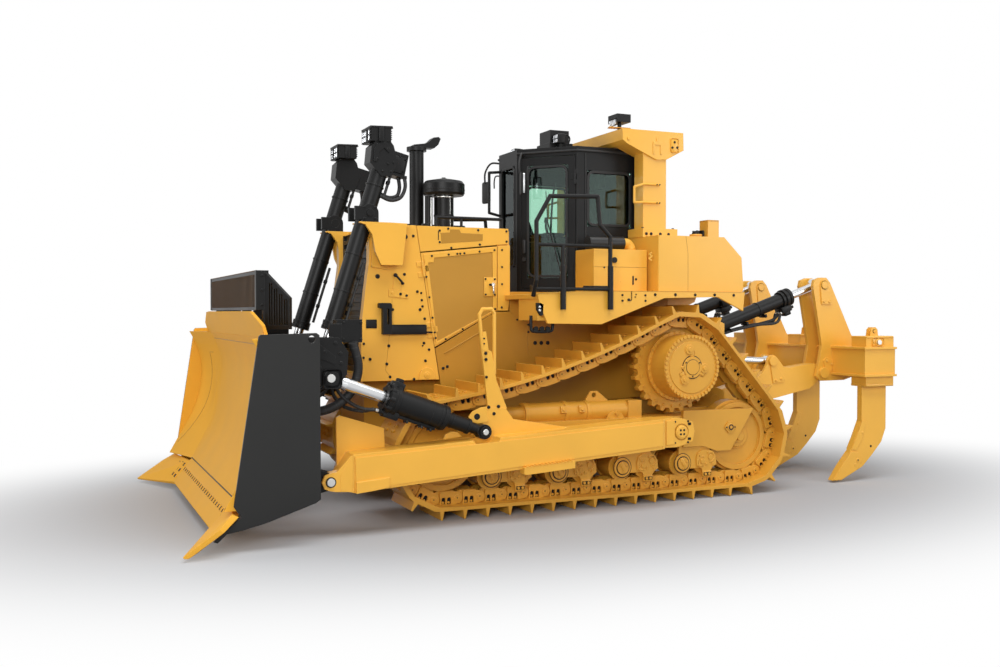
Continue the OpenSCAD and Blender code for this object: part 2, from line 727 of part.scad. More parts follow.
// ---- push arms and blade ------------------------------------------------------------------
module push_arms() {
    color(yellow) both_sides() difference() {
        union() {
            plate([[3744, 730], [523, 910], [522, 608], [3300, 420], [3718, 387], [3860, 420],
                [3860, 560]], arm_inner_y, arm_outer_y);
            plate([[540, 905], [540, 610], [350, 610], [285, 622], [150, 662], [125, 762], [150, 862],
                [285, 902], [350, 910]], arm_inner_y + 20, arm_outer_y - 60);
            across(blade_pin, 66, arm_y - 45, arm_y + 45);
            plate([[3740, 430], [3960, 435], [3960, 560], [3740, 600]], arm_y - 45, arm_y + 45);
            // tilt cylinder bracket and the grab post
            plate([[1500, 850], [2120, 960], [2200, 1065], [2390, 1090], [2510, 960], [2560, 830],
                [2300, 790]], tilt_y - 100, tilt_y - 60);
            plate([[2180, 1060], [2380, 1080], [2440, 1610], [2400, 1640], [2340, 1610], [2290, 1330]],
                tilt_y - 100, tilt_y - 70);
            tubes([[2425, tilt_y - 85, 1590], [2462, tilt_y - 85, 1960], [2430, tilt_y - 85, 2012],
                [2335, tilt_y - 85, 2014], [2308, tilt_y - 85, 1970], [2308, tilt_y - 85, 1400]], 18);
            // step pad under the arm
            plate([[1560, 556], [2100, 520], [2100, 456], [2070, 450], [1560, 484]],
                arm_outer_y - 60, arm_outer_y + 40);
            plate([[3380, 740], [3740, 720], [3830, 560], [3835, 1040], [3800, 1055], [3390, 925]],
                arm_inner_y, arm_inner_y + 30);
        }
        across(trunnion, trunnion_radius + eps, arm_inner_y, arm_outer_y);
        across(blade_pin, 35 + eps, arm_y - 100, arm_y + 100);
        across(tilt_rear, 32 + eps, tilt_y - 140, tilt_y + 140);
        across(tilt_rear, 150, tilt_y - 60, tilt_y + 140);
    }
}

// Moldboard outline: lower straight, two curves and the box sections behind them
curve_z = 1300;
curve_x = 4365;
straight_angle = 28;
upper_radius = 900;
board_foot_z = 345;
board_top_z = 1760;
knee = [curve_x + moldboard_radius * (1 - cos(straight_angle)),
    curve_z - moldboard_radius * sin(straight_angle)];
board_foot = [knee[0] + (knee[1] - board_foot_z) * tan(straight_angle), board_foot_z];
board_top = [curve_x + upper_radius - sqrt(pow(upper_radius, 2) - pow(board_top_z - curve_z, 2)),
    board_top_z];
lower_arc = [for (a = [0 : straight_angle / 8 : straight_angle])
    [curve_x + moldboard_radius * (1 - cos(a)), curve_z - moldboard_radius * sin(a)]];
upper_sweep = asin((board_top_z - curve_z) / upper_radius);
upper_arc = [for (i = [6 : -1 : 1])
    let (a = upper_sweep * i / 6) [curve_x + upper_radius * (1 - cos(a)), curve_z + upper_radius * sin(a)]];
// Section of the welded moldboard: its face, a lower box and a box along the top
module board_outline() {
    t = moldboard_plate;
    polygon(concat(upper_arc, lower_arc, [board_foot, [4360, board_foot_z], [4330, 620],
        [knee[0] - t - 12, knee[1]], [curve_x - t + 12, 1130], [curve_x - t, curve_z], [curve_x - t - 20, 1400],
        [4180, 1450], [4180, 1740], [4200, board_top_z]]));
}

board_end_y = 1985;
wing_bend = [board_foot[0], blade_flat_half];
module mitre_side(keep) {
    translate([wing_bend[0], wing_bend[1], 0]) rotate([0, 0, -wing_angle / 2])
        translate([-2000, keep > 0 ? 0 : -4000, 0]) cube([4000, 4000, 3000]);
}
module blade_moldboard() {
    color(yellow) union() {
        intersection() {
            profile(-2200, 2200) board_outline();
            mitre_side(-1);
            mirror([0, 1, 0]) mitre_side(-1);
        }
        both_sides() intersection() {
            translate([wing_bend[0], wing_bend[1], 0]) rotate([0, 0, -wing_angle])
                translate([-wing_bend[0], 0, 0]) profile(-400, 1000) board_outline();
            mitre_side(1);
            block(3500, 5500, 1000, board_end_y, 0, 3000);
        }
        // spill guard
        translate([board_top[0] - 6, 0, board_top_z]) rotate([0, 17, 0]) rotate([90, 0, 90])
            translate([0, 0, -28]) linear_extrude(28)
                polygon([[-1340, 235], [1340, 235], [1690, 112], [1690, -25], [-1690, -25], [-1690, 112]]);
        // ribs and lift cylinder forks on the back
        for (y = [-1300, -330, 330, 1300])
            plate([[4190, 1500], [4190, 1450], [4260, 1100], [4330, 620], [4500, 620], [curve_x + 10, 1300],
                [curve_x + 10, 1500]], y - 15, y + 15);
        both_sides() {
            for (y = [lift_y - 95, lift_y + 60])
                plate([[4500, 560], [4330, 620], [4290, 560], [3985, 668], [3910, 748], [3985, 828],
                    [4310, 990], [4420, 980]], y, y + 35);
            across(lift_eye, 28, lift_y - 95, lift_y + 95);
        }
    }
}

// Children drawn in the frame of the left wing, with its bend on the Y origin
module wing_frame() {
    translate([wing_bend[0], wing_bend[1], 0]) rotate([0, 0, -wing_angle])
        translate([-wing_bend[0], 0, 0]) children();
}
// Black forks bolted on the wings for the push arms and tilt cylinders
module blade_brackets() {
    color(dark) both_sides() {
        union() {
            wing_frame() block(4150, 4180 - eps, 12, 290, 1455, 1735);
            for (row = [[tilt_y - 105, 4200], [tilt_y + 70, 4252]])
                plate([[row[1], 1470], [row[1], 1730], [4140, 1765], [3870, 1762], [3784, 1632],
                    [3798, 1440], [3870, 1345], [3945, 1318], [4030, 1345]], row[0], row[0] + 35);
            across(tilt_front, 38, tilt_y - 105, tilt_y + 105);
            // box that shields the hoses
            block(3600, 3835, tilt_y - 235, tilt_y - 100, 1712, 1918);
            block(3790, 3905, tilt_y - 122, tilt_y - 97, 1610, 1880);
        }
        union() {
            wing_frame() plate([[4359.1, 350], [4329.9, 618], [4300, 618], [4328, 350]], 30, 300);
            for (row = [[arm_y - 95, 4380], [arm_y + 60, 4430]])
                plate([[row[1], 352], [row[1] - 24, 600], [4150, 640], [3900, 560], [3880, 497],
                    [3900, 430], [4150, 380]], row[0], row[0] + 35);
            across(blade_pin, 35, arm_y - 95, arm_y + 95);
        }
    }
}

edge_rise = 37;
module blade_edges() {
    foot = board_foot;
    color(yellow) union() {
        // middle cutting edge
        intersection() {
            profile(-2300, 2300) polygon([[foot[0], foot[1]], [4911, 88], [4895, 60], [4850, 60],
                [foot[0] - 50, foot[1] - 26]]);
            block(4000, 5500, -blade_flat_half, blade_flat_half, 0, 1000);
        }
        // end bits
        both_sides() hull() {
            translate([0, blade_flat_half, 0]) profile(0, 1) polygon([[foot[0] + 20, foot[1] - 30], [4911, 88], [4895, 60],
                [4860, 60], [foot[0] - 25, foot[1] - 40]]);
            translate([0, 2030, 0]) profile(0, 1) polygon([[4830, 325], [5165, 62], [5150, 34], [5110, 34], [4780, 300]]);
            translate([0, blade_width / 2 - 1, 0]) profile(0, 1) polygon([[4950, 235], [5237, 40], [5225, 25], [5190, 25],
                [4915, 210]]);
        }
    }
}

module blade_side_plates() {
    color(dark) both_sides() difference() {
        plate([[4605, 1780], [4590, 1796], [4120, 1808], [4095, 1790], [4091, 1689], [4087, 395], [4130, 365],
            [4547, 230], [4750, 182], [4870, 165], [4945, 96], [4976, 108], [4754, 298], [4785, 338],
            [4813, 383]], board_end_y + eps, board_end_y + 25);
        across([4161, 1755], 32, board_end_y - 5, board_end_y + 40);
    }
}

module trash_rack() {
    front = board_top[0] + 8;
    half = 1320;
    depth = 55;
    slats = floor((2 * half - 120) / slat_pitch);
    color(dark) union() {
        translate([front - depth, 0, 0]) rotate([90, 0, 90]) linear_extrude(depth) difference() {
            translate([-half, 2000]) square([2 * half, 350]);
            for (i = [0 : slats - 1])
                translate([(i - slats / 2) * slat_pitch + 7, 2030]) square([slat_pitch - 14, 290]);
        }
        both_sides() {
            block(front - depth - 52, front - depth - 2, half - 20, half + 42, 1825, 2356);
            block(front - depth - 6, front + 5, half - 20, half + 42, 2004, 2356);
            translate([front - depth - 46, half + 14, 0]) rotate([0, 0, 47]) rotate([90, 0, 90])
                linear_extrude(depth - 12) difference() {
                    polygon([[0, 1832], [250, 1832], [250, 2110], [0, 2344]]);
                    for (i = [0 : 3]) translate([40 + i * slat_pitch * 0.85, 1870])
                        square([slat_pitch * 0.85 - 14, 370 - i * 48]);
                }
        }
        for (y = [-900, -300, 300, 900])
            {
                block(front - depth - 90, front - depth - 5, y - 30, y + 30, board_top_z + eps, 2060);
                block(front - depth - 10, front - depth + 10, y - 30, y + 30, 2005, 2060);
            }
    }
}

// ---- cylinders ---------------------------------------------------------------------------
lift_length = norm(lift_eye - lift_trunnion);
lift_barrel_end = 1212;
module lift_barrels() {
    head = lift_trunnion[0] - 3285;
    color(dark) both_sides() union() {
        aimed(lift_trunnion, lift_eye, lift_y) difference() {
            union() {
                bar(-610, lift_barrel_end, lift_barrel_radius);
                bar(lift_barrel_end - 60, lift_barrel_end, lift_barrel_radius + 12);
                rotate([90, 0, 0]) cylinder(r = 45, h = 2 * (lift_barrel_radius + 48), center = true);
            }
            bar(-420, lift_barrel_end + 1, lift_rod_radius + eps);
        }
        // head bracket, the lamp box on it and the valve box behind it
        translate([head, 0, 0]) {
            plate([[3275, 3460], [3258, 3625], [3180, 3700], [3080, 3700], [3030, 3635], [2990, 3480],
                [3060, 3330], [3160, 3330]], lift_y - 105, lift_y + 105);
            plate([[3120, 3616], [2868, 3551], [2918, 3322], [3120, 3366]], lift_y - 90, lift_y + 90);
            block(3060, 3262, lift_y - 200, lift_y + 115, 3672, 3806);
            plate([[3268, 3803], [3276, 3818], [3050, 3826], [3040, 3803]], lift_y - 206, lift_y + 121);
        }
    }
}
module lift_rods() {
    color(chrome) both_sides() aimed(lift_trunnion, lift_eye, lift_y) difference() {
        union() {
            bar(lift_barrel_end - 560, lift_length - 60, lift_rod_radius);
            translate([lift_length, 0, 0]) rotate([90, 0, 0]) cylinder(r = 92, h = 110, center = true);
        }
        translate([lift_length, 0, 0]) rotate([90, 0, 0]) cylinder(r = 66, h = 130, center = true);
    }
}

tilt_length = norm(tilt_front - tilt_rear);
tilt_barrel_end = 1010;
module tilt_barrels() {
    color(dark) both_sides() aimed(tilt_rear, tilt_front, tilt_y) difference() {
        union() {
            rotate([90, 0, 0]) cylinder(r = 70, h = 110, center = true);
            bar(40, 170, 50);
            bar(150, 410, 68);
            bar(400, tilt_barrel_end, tilt_barrel_radius);
            bar(tilt_barrel_end - 90, tilt_barrel_end, tilt_barrel_radius + 22);
        }
        rotate([90, 0, 0]) cylinder(r = 32 + eps, h = 130, center = true);
        bar(450, tilt_barrel_end + 1, tilt_rod_radius + eps);
    }
    color(chrome) both_sides() across(tilt_rear, 32, tilt_y - 100, tilt_y + 68);
}
module tilt_rods() {
    color(chrome) both_sides() aimed(tilt_rear, tilt_front, tilt_y) difference() {
        union() {
            bar(tilt_barrel_end - 350, tilt_length - 60, tilt_rod_radius);
            translate([tilt_length, 0, 0]) rotate([90, 0, 0]) cylinder(r = 85, h = 124, center = true);
        }
        translate([tilt_length, 0, 0]) rotate([90, 0, 0]) cylinder(r = 50, h = 130, center = true);
    }
}

// ---- ripper ---------------------------------------------------------------------------------
link_in = ripper_y - 85;
link_out = ripper_y + 85;
lug_gap = 100;                          // between the plates that hold a lift rod's eye
module ripper_link() {
    color(yellow) difference() {
        union() {
            both_sides() plate([[-850, 905], [-905, 976], [-850, 1060], [-1480, 1215], [-1560, 1280],
                [-1608, 1360], [-1620, 1425], [-1655, 1468], [-1705, 1476], [-1750, 1452],
                [-1860, 1330], [-1940, 1318], [-2300, 1362], [-2402, 1345], [-2470, 1250],
                [-2402, 1165], [-2250, 1060], [-1724, 960], [-1100, 880]], link_in, link_out);
            block(-2060, -1720, -link_in - 5, link_in + 5, 1000, 1210);
            both_sides() across(ripper_low_pivot, 78, link_in, link_out);
            both_sides() for (y = [link_in - 10, link_out - 5])
                across(ripper_lift_pin, 44, y, y + 15);
        }
        both_sides() block(-1830, -1400, ripper_y - lug_gap / 2, ripper_y + lug_gap / 2, 1284, 1600);
        across(ripper_low_pin, 50 + eps, -900, 900);
        across(ripper_low_pivot, 60 + eps, -900, 900);
    }
    color(yellow) both_sides() across(ripper_low_pivot, 60, ripper_y - 125, ripper_y + 125);
}

plate_in = ripper_y - 145;
plate_out = ripper_y + 145;
module ripper_pins() {
    color(dark) both_sides() across(ripper_low_pin, 50, plate_in - 20, plate_out + 20);
}

beam_front = -2540;
beam_rear = -3000;
beam_low = 1228;
beam_high = 1571;
module ripper_carriage() {
    color(yellow) difference() {
        union() {
            both_sides() for (y = [plate_in, plate_out - 45])
                plate([[-2343, 2400], [-2260, 2370], [-2242, 2300], [-2350, 1743], [-2379, 1581], [-2330, 1330],
                    [-2300, 1210], [-2368, 1153], [-2723, 1155], [beam_rear + 10, beam_low], [beam_rear + 10, beam_high + 5],
                    [-2835, 1704], [-2500, 2340], [-2440, 2400]], y, y + 45);
            block(beam_rear, beam_front, -beam_half_width, beam_half_width, beam_low, beam_high);
            for (z = [beam_low - 2, beam_high - 24])
                block(beam_rear - 4, beam_front + 24, -beam_half_width - 26, beam_half_width + 26, z, z + 26);
            for (y = [-shank_y, 0, shank_y]) {
                block(beam_rear - 5, -2585, y - 120, y + 120, beam_high, beam_high + 110);
                block(beam_rear - 5, -2585, y - 120, y + 120, beam_low - 120, beam_low);
            }
        }
        for (y = [-shank_y, 0, shank_y])
            block(-2600 - shank_depth - eps, -2600 + eps, y - shank_plate / 2 - 6, y + shank_plate / 2 + 6,
                beam_low - 200, beam_high + 200);
        across(ripper_low_pin, 50 + eps, -900, 900);
    }
    // pin caps over the eyes of the tilt rods
    color(dark) both_sides() for (y = [plate_in - 14, plate_out])
        across(ripper_high_pin, 55, y, y + 14);
}

module ripper_shanks() {
    front = -2600;
    rear = front - shank_depth;
    color(yellow) for (y = [-shank_y, 0, shank_y])
        plate([[front, beam_high + 130], [front, 690], [-2512, 506], [-2426, 330], [-2280, 170], [-2171, 18],
            [-2300, 18], [-2617, 160], [-2760, 290], [-2905, 441], [rear, 600], [rear, 700],
            [rear, beam_high + 130]], y - shank_plate / 2, y + shank_plate / 2);
}

tilt_link_length = norm(ripper_high_pin - ripper_high_pivot);
ripper_tilt_end = 1200;
module ripper_tilt_pins() {
    color(dark) both_sides() across(ripper_high_pivot, 45, ripper_y - 135, ripper_y + 135);
}
module ripper_tilt_barrels() {
    color(dark) both_sides() aimed(ripper_high_pivot, ripper_high_pin, ripper_y) difference() {
        union() {
            rotate([90, 0, 0]) cylinder(r = 80, h = 150, center = true);
            bar(30, ripper_tilt_end, ripper_barrel_radius - 4);
            bar(ripper_tilt_end - 100, ripper_tilt_end, ripper_barrel_radius + 11);
        }
        rotate([90, 0, 0]) cylinder(r = 45 + eps, h = 170, center = true);
        bar(200, ripper_tilt_end + 1, ripper_rod_radius + eps);
    }
}
module ripper_tilt_rods() {
    color(chrome) both_sides() aimed(ripper_high_pivot, ripper_high_pin, ripper_y) difference() {
        union() {
            bar(ripper_tilt_end - 560, tilt_link_length - 60, ripper_rod_radius);
            translate([tilt_link_length, 0, 0]) rotate([90, 0, 0]) cylinder(r = 82, h = 120, center = true);
            translate([tilt_link_length, 0, 0]) rotate([90, 0, 0]) cylinder(r = 50, h = 190, center = true);
        }
    }
}

lift_link_length = norm(ripper_lift_pin - ripper_lift_pivot);
ripper_lift_end = 700;
module ripper_lift_barrels() {
    color(dark) both_sides() aimed(ripper_lift_pivot, ripper_lift_pin, ripper_y) difference() {
        union() {
            rotate([90, 0, 0]) cylinder(r = ripper_lift_radius - 2, h = 156, center = true);
            rotate([90, 0, 0]) cylinder(r = 38, h = 250, center = true);
            bar(30, ripper_lift_end, ripper_lift_radius);
            bar(ripper_lift_end - 80, ripper_lift_end, ripper_lift_radius + 8);
        }
        bar(110, ripper_lift_end + 1, 40 + eps);
    }
}
module ripper_lift_rods() {
    color(chrome) both_sides() aimed(ripper_lift_pivot, ripper_lift_pin, ripper_y) {
        bar(ripper_lift_end - 285, lift_link_length - 40, 40);
        translate([lift_link_length, 0, 0]) rotate([90, 0, 0])
            cylinder(r = 66, h = lug_gap - 10, center = true);
    }
}

// ---- the machine ------------------------------------------------------------------------------
front_end = 5237;
rear_end = beam_rear - 5;
middle = (front_end + rear_end) / 2;
module placed() {
    translate([-middle, 0, 0]) children();
}
module flipped() {
    mirror([0, 1, 0]) children();
}

placed() main_frame();
placed() ripper_brackets();
placed() engine_block();
placed() radiator_guard();
placed() radiator_grille();
placed() lift_yokes();
placed() hood();
placed() engine_door();  // engine_door_left
placed() flipped() engine_door();  // engine_door_right
placed() exhaust_stack();
placed() air_precleaner();
placed() cab_shell();
placed() cab_glass();
placed() cab_door();  // cab_door_left
placed() flipped() cab_door();  // cab_door_right
placed() door_glass();  // door_glass_left
placed() flipped() door_glass();  // door_glass_right
placed() operator_seat();
placed() rops();
placed() work_lamps();
placed() fenders();
placed() fuel_tank();
placed() side_boxes();
placed() handrails();
placed() roller_frame();  // roller_frame_left
placed() flipped() roller_frame();  // roller_frame_right
placed() track_wheels();  // track_wheels_left
placed() flipped() track_wheels();  // track_wheels_right
placed() final_drives();
placed() track();  // track_left
placed() flipped() track();  // track_right
placed() push_arms();
placed() blade_moldboard();
placed() blade_brackets();
placed() blade_edges();
placed() blade_side_plates();
placed() trash_rack();
placed() lift_barrels();
placed() lift_rods();
placed() tilt_barrels();
placed() tilt_rods();
placed() ripper_link();
placed() ripper_pins();
placed() ripper_carriage();
placed() ripper_shanks();
placed() ripper_tilt_pins();
placed() ripper_tilt_barrels();
placed() ripper_tilt_rods();
placed() ripper_lift_barrels();
placed() ripper_lift_rods();
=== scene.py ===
"""A large high-drive crawler dozer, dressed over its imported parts."""
import bpy, bmesh, math
from mathutils import Matrix, Vector


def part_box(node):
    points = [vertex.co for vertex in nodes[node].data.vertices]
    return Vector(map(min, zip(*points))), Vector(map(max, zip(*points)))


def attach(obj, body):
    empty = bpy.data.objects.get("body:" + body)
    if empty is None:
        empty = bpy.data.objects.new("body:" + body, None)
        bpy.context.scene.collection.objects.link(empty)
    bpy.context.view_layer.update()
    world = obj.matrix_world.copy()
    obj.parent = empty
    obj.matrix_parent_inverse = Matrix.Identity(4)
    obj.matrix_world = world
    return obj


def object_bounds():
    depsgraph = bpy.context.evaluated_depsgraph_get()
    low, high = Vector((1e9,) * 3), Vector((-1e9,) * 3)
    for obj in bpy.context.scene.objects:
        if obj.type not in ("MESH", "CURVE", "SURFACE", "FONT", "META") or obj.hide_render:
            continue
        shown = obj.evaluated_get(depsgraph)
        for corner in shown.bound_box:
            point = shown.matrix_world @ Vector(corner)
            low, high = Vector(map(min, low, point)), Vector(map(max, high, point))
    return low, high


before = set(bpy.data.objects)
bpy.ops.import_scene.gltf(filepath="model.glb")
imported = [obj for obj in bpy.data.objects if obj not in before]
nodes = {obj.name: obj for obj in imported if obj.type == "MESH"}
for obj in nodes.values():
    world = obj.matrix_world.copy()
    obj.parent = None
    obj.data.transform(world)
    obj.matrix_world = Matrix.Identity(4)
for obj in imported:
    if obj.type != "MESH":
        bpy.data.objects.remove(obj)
cad_box = [list(corner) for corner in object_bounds()]


# ---- Studio ---------------------------------------------------------------------
# A pale sweep under broad soft lamps: near the machine the floor takes its shadow,
# further off it goes over into plain white. The camera stands off the left front corner.
scene = bpy.context.scene
scene.view_settings.view_transform = "Standard"

camera_data = bpy.data.cameras.new("camera")
camera_data.sensor_width = 36
camera_data.lens = 37.368
camera_data.clip_end = 200
camera = bpy.data.objects.new("camera", camera_data)
camera.location = (5.123, 10.655, 1.986)
camera.rotation_euler = (math.radians(90 - 1.191), 0, math.radians(-113.794 - 90))
scene.collection.objects.link(camera)
scene.camera = camera


def soft_lamp(name, place, target, size, watts):
    data = bpy.data.lights.new(name, "AREA")
    data.shape = "RECTANGLE"
    data.size, data.size_y = size
    data.energy = watts
    lamp = bpy.data.objects.new(name, data)
    lamp.location = place
    lamp.rotation_euler = (Vector(target) - Vector(place)).to_track_quat("-Z", "Y").to_euler()
    scene.collection.objects.link(lamp)


soft_lamp("overhead", (0.5, 6.5, 14.5), (0.3, 0, 0), (15, 9), 1850)
soft_lamp("front_left", (10, 16, 5.5), (0.5, 0, 0.8), (8, 5), 1420)
soft_lamp("rear_left", (-9, 9, 4.5), (-1, 0, 1.5), (5, 4), 330)
soft_lamp("front", (13, -3, 5), (2, 0, 1.5), (5, 5), 330)


def feed(tree, node, feeds):
    """Gives each named input of a shader node a value or another node's socket."""
    for slot, value in feeds.items():
        if isinstance(value, bpy.types.NodeSocket):
            tree.links.new(value, node.inputs[slot])
        else:
            node.inputs[slot].default_value = value


def knot(tree, kind, feeds, **traits):
    """A new shader node with its traits set and its inputs fed."""
    made = tree.nodes.new(kind)
    for trait, value in traits.items():
        setattr(made, trait, value)
    feed(tree, made, feeds)
    return made


def emptied(holder):
    """The node tree of a world or material, with nothing in it yet."""
    holder.use_nodes = True
    holder.node_tree.nodes.clear()
    return holder.node_tree


def seen_directly(tree):
    """One where the camera, a mirror or a pane sees a surface, and none where it only lights."""
    paths = knot(tree, "ShaderNodeLightPath", {})
    total = paths.outputs["Is Camera Ray"]
    for ray in ("Is Glossy Ray", "Is Transmission Ray"):
        feeds = {0: total, 1: paths.outputs[ray]}
        total = knot(tree, "ShaderNodeMath", feeds, operation="MAXIMUM").outputs[0]
    return total


scene.world = bpy.data.worlds.new("studio")
tree = emptied(scene.world)
seen = knot(tree, "ShaderNodeBackground", {"Color": (1, 1, 1, 1), "Strength": 1})
fill = knot(tree, "ShaderNodeBackground", {"Color": (0.96, 0.97, 1, 1), "Strength": 0.10})
mixed = knot(tree, "ShaderNodeMixShader", {0: seen_directly(tree), 1: fill.outputs[0], 2: seen.outputs[0]})
knot(tree, "ShaderNodeOutputWorld", {"Surface": mixed.outputs[0]})

mesh = bpy.data.meshes.new("floor")
bm = bmesh.new()
bmesh.ops.create_grid(bm, x_segments=1, y_segments=1, size=90)
bm.to_mesh(mesh)
bm.free()
floor = bpy.data.objects.new("floor", mesh)
floor.location.z = cad_box[0][2] - 0.001
scene.collection.objects.link(floor)
pale = bpy.data.materials.new("floor_pale")
tree = emptied(pale)
place = knot(tree, "ShaderNodeTexCoord", {})
oval = knot(tree, "ShaderNodeVectorMath", {0: place.outputs["Object"], 1: (0.645, 1, 0)},
    operation="MULTIPLY")
away = knot(tree, "ShaderNodeVectorMath", {0: oval.outputs["Vector"]}, operation="LENGTH")
fade = knot(tree, "ShaderNodeMapRange", {"Value": away.outputs["Value"], "From Min": 1.9,
    "From Max": 5.7}, interpolation_type="SMOOTHERSTEP")
shown = knot(tree, "ShaderNodeMath", {0: fade.outputs["Result"], 1: seen_directly(tree)},
    operation="MULTIPLY")
lit = knot(tree, "ShaderNodeBsdfDiffuse", {"Color": (0.46, 0.47, 0.49, 1)})
white = knot(tree, "ShaderNodeEmission", {"Color": (1, 1, 1, 1), "Strength": 1})
both = knot(tree, "ShaderNodeMixShader", {0: shown.outputs[0], 1: lit.outputs[0], 2: white.outputs[0]})
knot(tree, "ShaderNodeOutputMaterial", {"Surface": both.outputs[0]})
mesh.materials.append(pale)


# ---- Enamel and plating -----------------------------------------------------------
# Plate and castings in baked machine yellow or satin black. The tone drifts a little
# from panel to panel, rounded edges get a painted highlight, and sprayed enamel shows a ripple.
def shader_of(material):
    """A material's node tree, its main shader and its texture place."""
    material.use_nodes = True
    tree = material.node_tree
    return tree, tree.nodes["Principled BSDF"], knot(tree, "ShaderNodeTexCoord", {}).outputs["Object"]


def enamel(name, colour, tone=0.93, rough=0.36, coat=0.12, edge=1.12, ripple=0.10, specular=0.36,
        metallic=0):
    material = bpy.data.materials.new(name)
    tree, shader, place = shader_of(material)
    slow = knot(tree, "ShaderNodeTexNoise", {"Vector": place, "Scale": 1.7, "Detail": 5}).outputs["Fac"]
    drift = knot(tree, "ShaderNodeValToRGB", {"Fac": slow})
    for stop, position, depth in zip(drift.color_ramp.elements, (0.3, 0.7), (tone, 1)):
        stop.position = position
        stop.color = (*[c * depth for c in colour], 1)
    # painted highlight: corners turn lighter where the rounded normal leaves the flat one
    rounded = knot(tree, "ShaderNodeBevel", {"Radius": 0.007}, samples=4).outputs["Normal"]
    flat = knot(tree, "ShaderNodeNewGeometry", {}).outputs["Normal"]
    apart = knot(tree, "ShaderNodeVectorMath", {0: rounded, 1: flat}, operation="DOT_PRODUCT")
    edge_highlight_mask = knot(tree, "ShaderNodeMapRange", {"Value": apart.outputs["Value"], "From Min": 0.995,
        "From Max": 0.80})
    # the corner colour, edge times the paint plus a little, is a painted highlight
    bright = (*[min(1, c * edge + 0.015) for c in colour], 1)
    paint_with_edge_highlight = knot(tree, "ShaderNodeMix", {"Factor": edge_highlight_mask.outputs["Result"], "A": drift.outputs["Color"],
        "B": bright}, data_type="RGBA")
    fine = knot(tree, "ShaderNodeTexNoise", {"Vector": place, "Scale": 160, "Detail": 2})
    bump = knot(tree, "ShaderNodeBump", {"Height": fine.outputs["Fac"], "Normal": rounded,
        "Strength": ripple, "Distance": 0.0012})
    sheen = knot(tree, "ShaderNodeMapRange", {"Value": slow, "To Min": rough - 0.05,
        "To Max": rough + 0.07})
    feed(tree, shader, {"Base Color": paint_with_edge_highlight.outputs["Result"], "Metallic": metallic,
        "Roughness": sheen.outputs["Result"], "Normal": bump.outputs["Normal"], "Coat Weight": coat,
        "Coat Roughness": 0.18, "Specular IOR Level": specular})
    return material


def fed(shader, slot):
    """The socket that feeds a shader's input."""
    return shader.inputs[slot].links[0].from_socket


def dress(material, *names):
    for name in names:
        node = nodes[name]
        node.data.materials.clear()
        node.data.materials.append(material)


yellow = enamel("yellow_enamel", (0.86, 0.45, 0.056))
cast_yellow = enamel("cast_yellow_enamel", (0.71, 0.35, 0.036), tone=0.86, rough=0.44, coat=0.15,
    ripple=0.3)
black = enamel("black_enamel", (0.007, 0.007, 0.007), tone=0.8, rough=0.40, coat=0, edge=1.9,
    specular=0.2)
ochre = enamel("ochre_enamel", (0.46, 0.225, 0.020), rough=0.5, coat=0.1)
rubber = enamel("hose_rubber", (0.012, 0.012, 0.012), rough=0.55, coat=0, edge=1.3, ripple=0.35)
steel = enamel("plated_steel", (0.62, 0.62, 0.60), rough=0.34, coat=0, edge=1.1, metallic=0.9)
frame_yellow = enamel("frame_yellow_enamel", (0.50, 0.235, 0.020), tone=0.88, rough=0.48, coat=0)
dress(frame_yellow, "main_frame")
dress(yellow, "ripper_brackets", "radiator_guard", "hood", "engine_door_left", "engine_door_right",
    "rops", "fenders", "fuel_tank", "push_arms", "ripper_link", "ripper_carriage", "ripper_shanks")
dress(cast_yellow, "roller_frame_left", "roller_frame_right", "track_wheels_left", "track_wheels_right",
    "final_drives", "track_left", "track_right")
dress(black, "engine_block", "radiator_grille", "lift_yokes", "exhaust_stack", "air_precleaner",
    "cab_shell", "cab_door_left", "cab_door_right", "work_lamps", "handrails", "trash_rack",
    "blade_brackets", "lift_barrels", "tilt_barrels", "ripper_tilt_barrels", "ripper_tilt_pins",
    "ripper_lift_barrels", "ripper_pins")

chrome = bpy.data.materials.new("rod_chrome")
tree, shader, place = shader_of(chrome)
lay = knot(tree, "ShaderNodeTexNoise", {"Vector": place, "Scale": 45})
sheen = knot(tree, "ShaderNodeMapRange", {"Value": lay.outputs["Fac"], "To Min": 0.12, "To Max": 0.24})
feed(tree, shader, {"Base Color": (0.66, 0.67, 0.68, 1), "Metallic": 1,
    "Roughness": sheen.outputs["Result"]})
dress(chrome, "lift_rods", "tilt_rods", "ripper_tilt_rods", "ripper_lift_rods")

glass = bpy.data.materials.new("cab_glass_tint")
tree = emptied(glass)
place = knot(tree, "ShaderNodeTexCoord", {})
slow_wave = knot(tree, "ShaderNodeTexNoise", {"Vector": place.outputs["Object"], "Scale": 2.5})
haze = knot(tree, "ShaderNodeMapRange", {"Value": slow_wave.outputs["Fac"], "To Min": 0.02,
    "To Max": 0.06})
clear = knot(tree, "ShaderNodeBsdfTransparent", {"Color": (0.80, 0.95, 0.875, 1)})
shine = knot(tree, "ShaderNodeBsdfGlossy", {"Color": (0.55, 0.6, 0.6, 1),
    "Roughness": haze.outputs["Result"]})
edge = knot(tree, "ShaderNodeFresnel", {"IOR": 1.7})
pane = knot(tree, "ShaderNodeMixShader", {0: edge.outputs[0], 1: clear.outputs[0], 2: shine.outputs[0]})
knot(tree, "ShaderNodeOutputMaterial", {"Surface": pane.outputs[0]})
dress(glass, "cab_glass", "door_glass_left", "door_glass_right")


# ---- Guard, hood and engine doors -------------------------------------------------
# The radiator guard and hood are folded plate, held by black flanged bolts. Each engine
# door is a yellow frame round a perforated screen, hung at its front and latched behind.
axle = (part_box("final_drives")[0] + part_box("final_drives")[1]) / 2
side_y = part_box("hood")[1].y * 1000


def at(x, y, z):
    """A place in millimetres: ahead of the sprocket axle, left of the middle, above ground."""
    return Vector((axle.x + x / 1000, y / 1000, z / 1000))


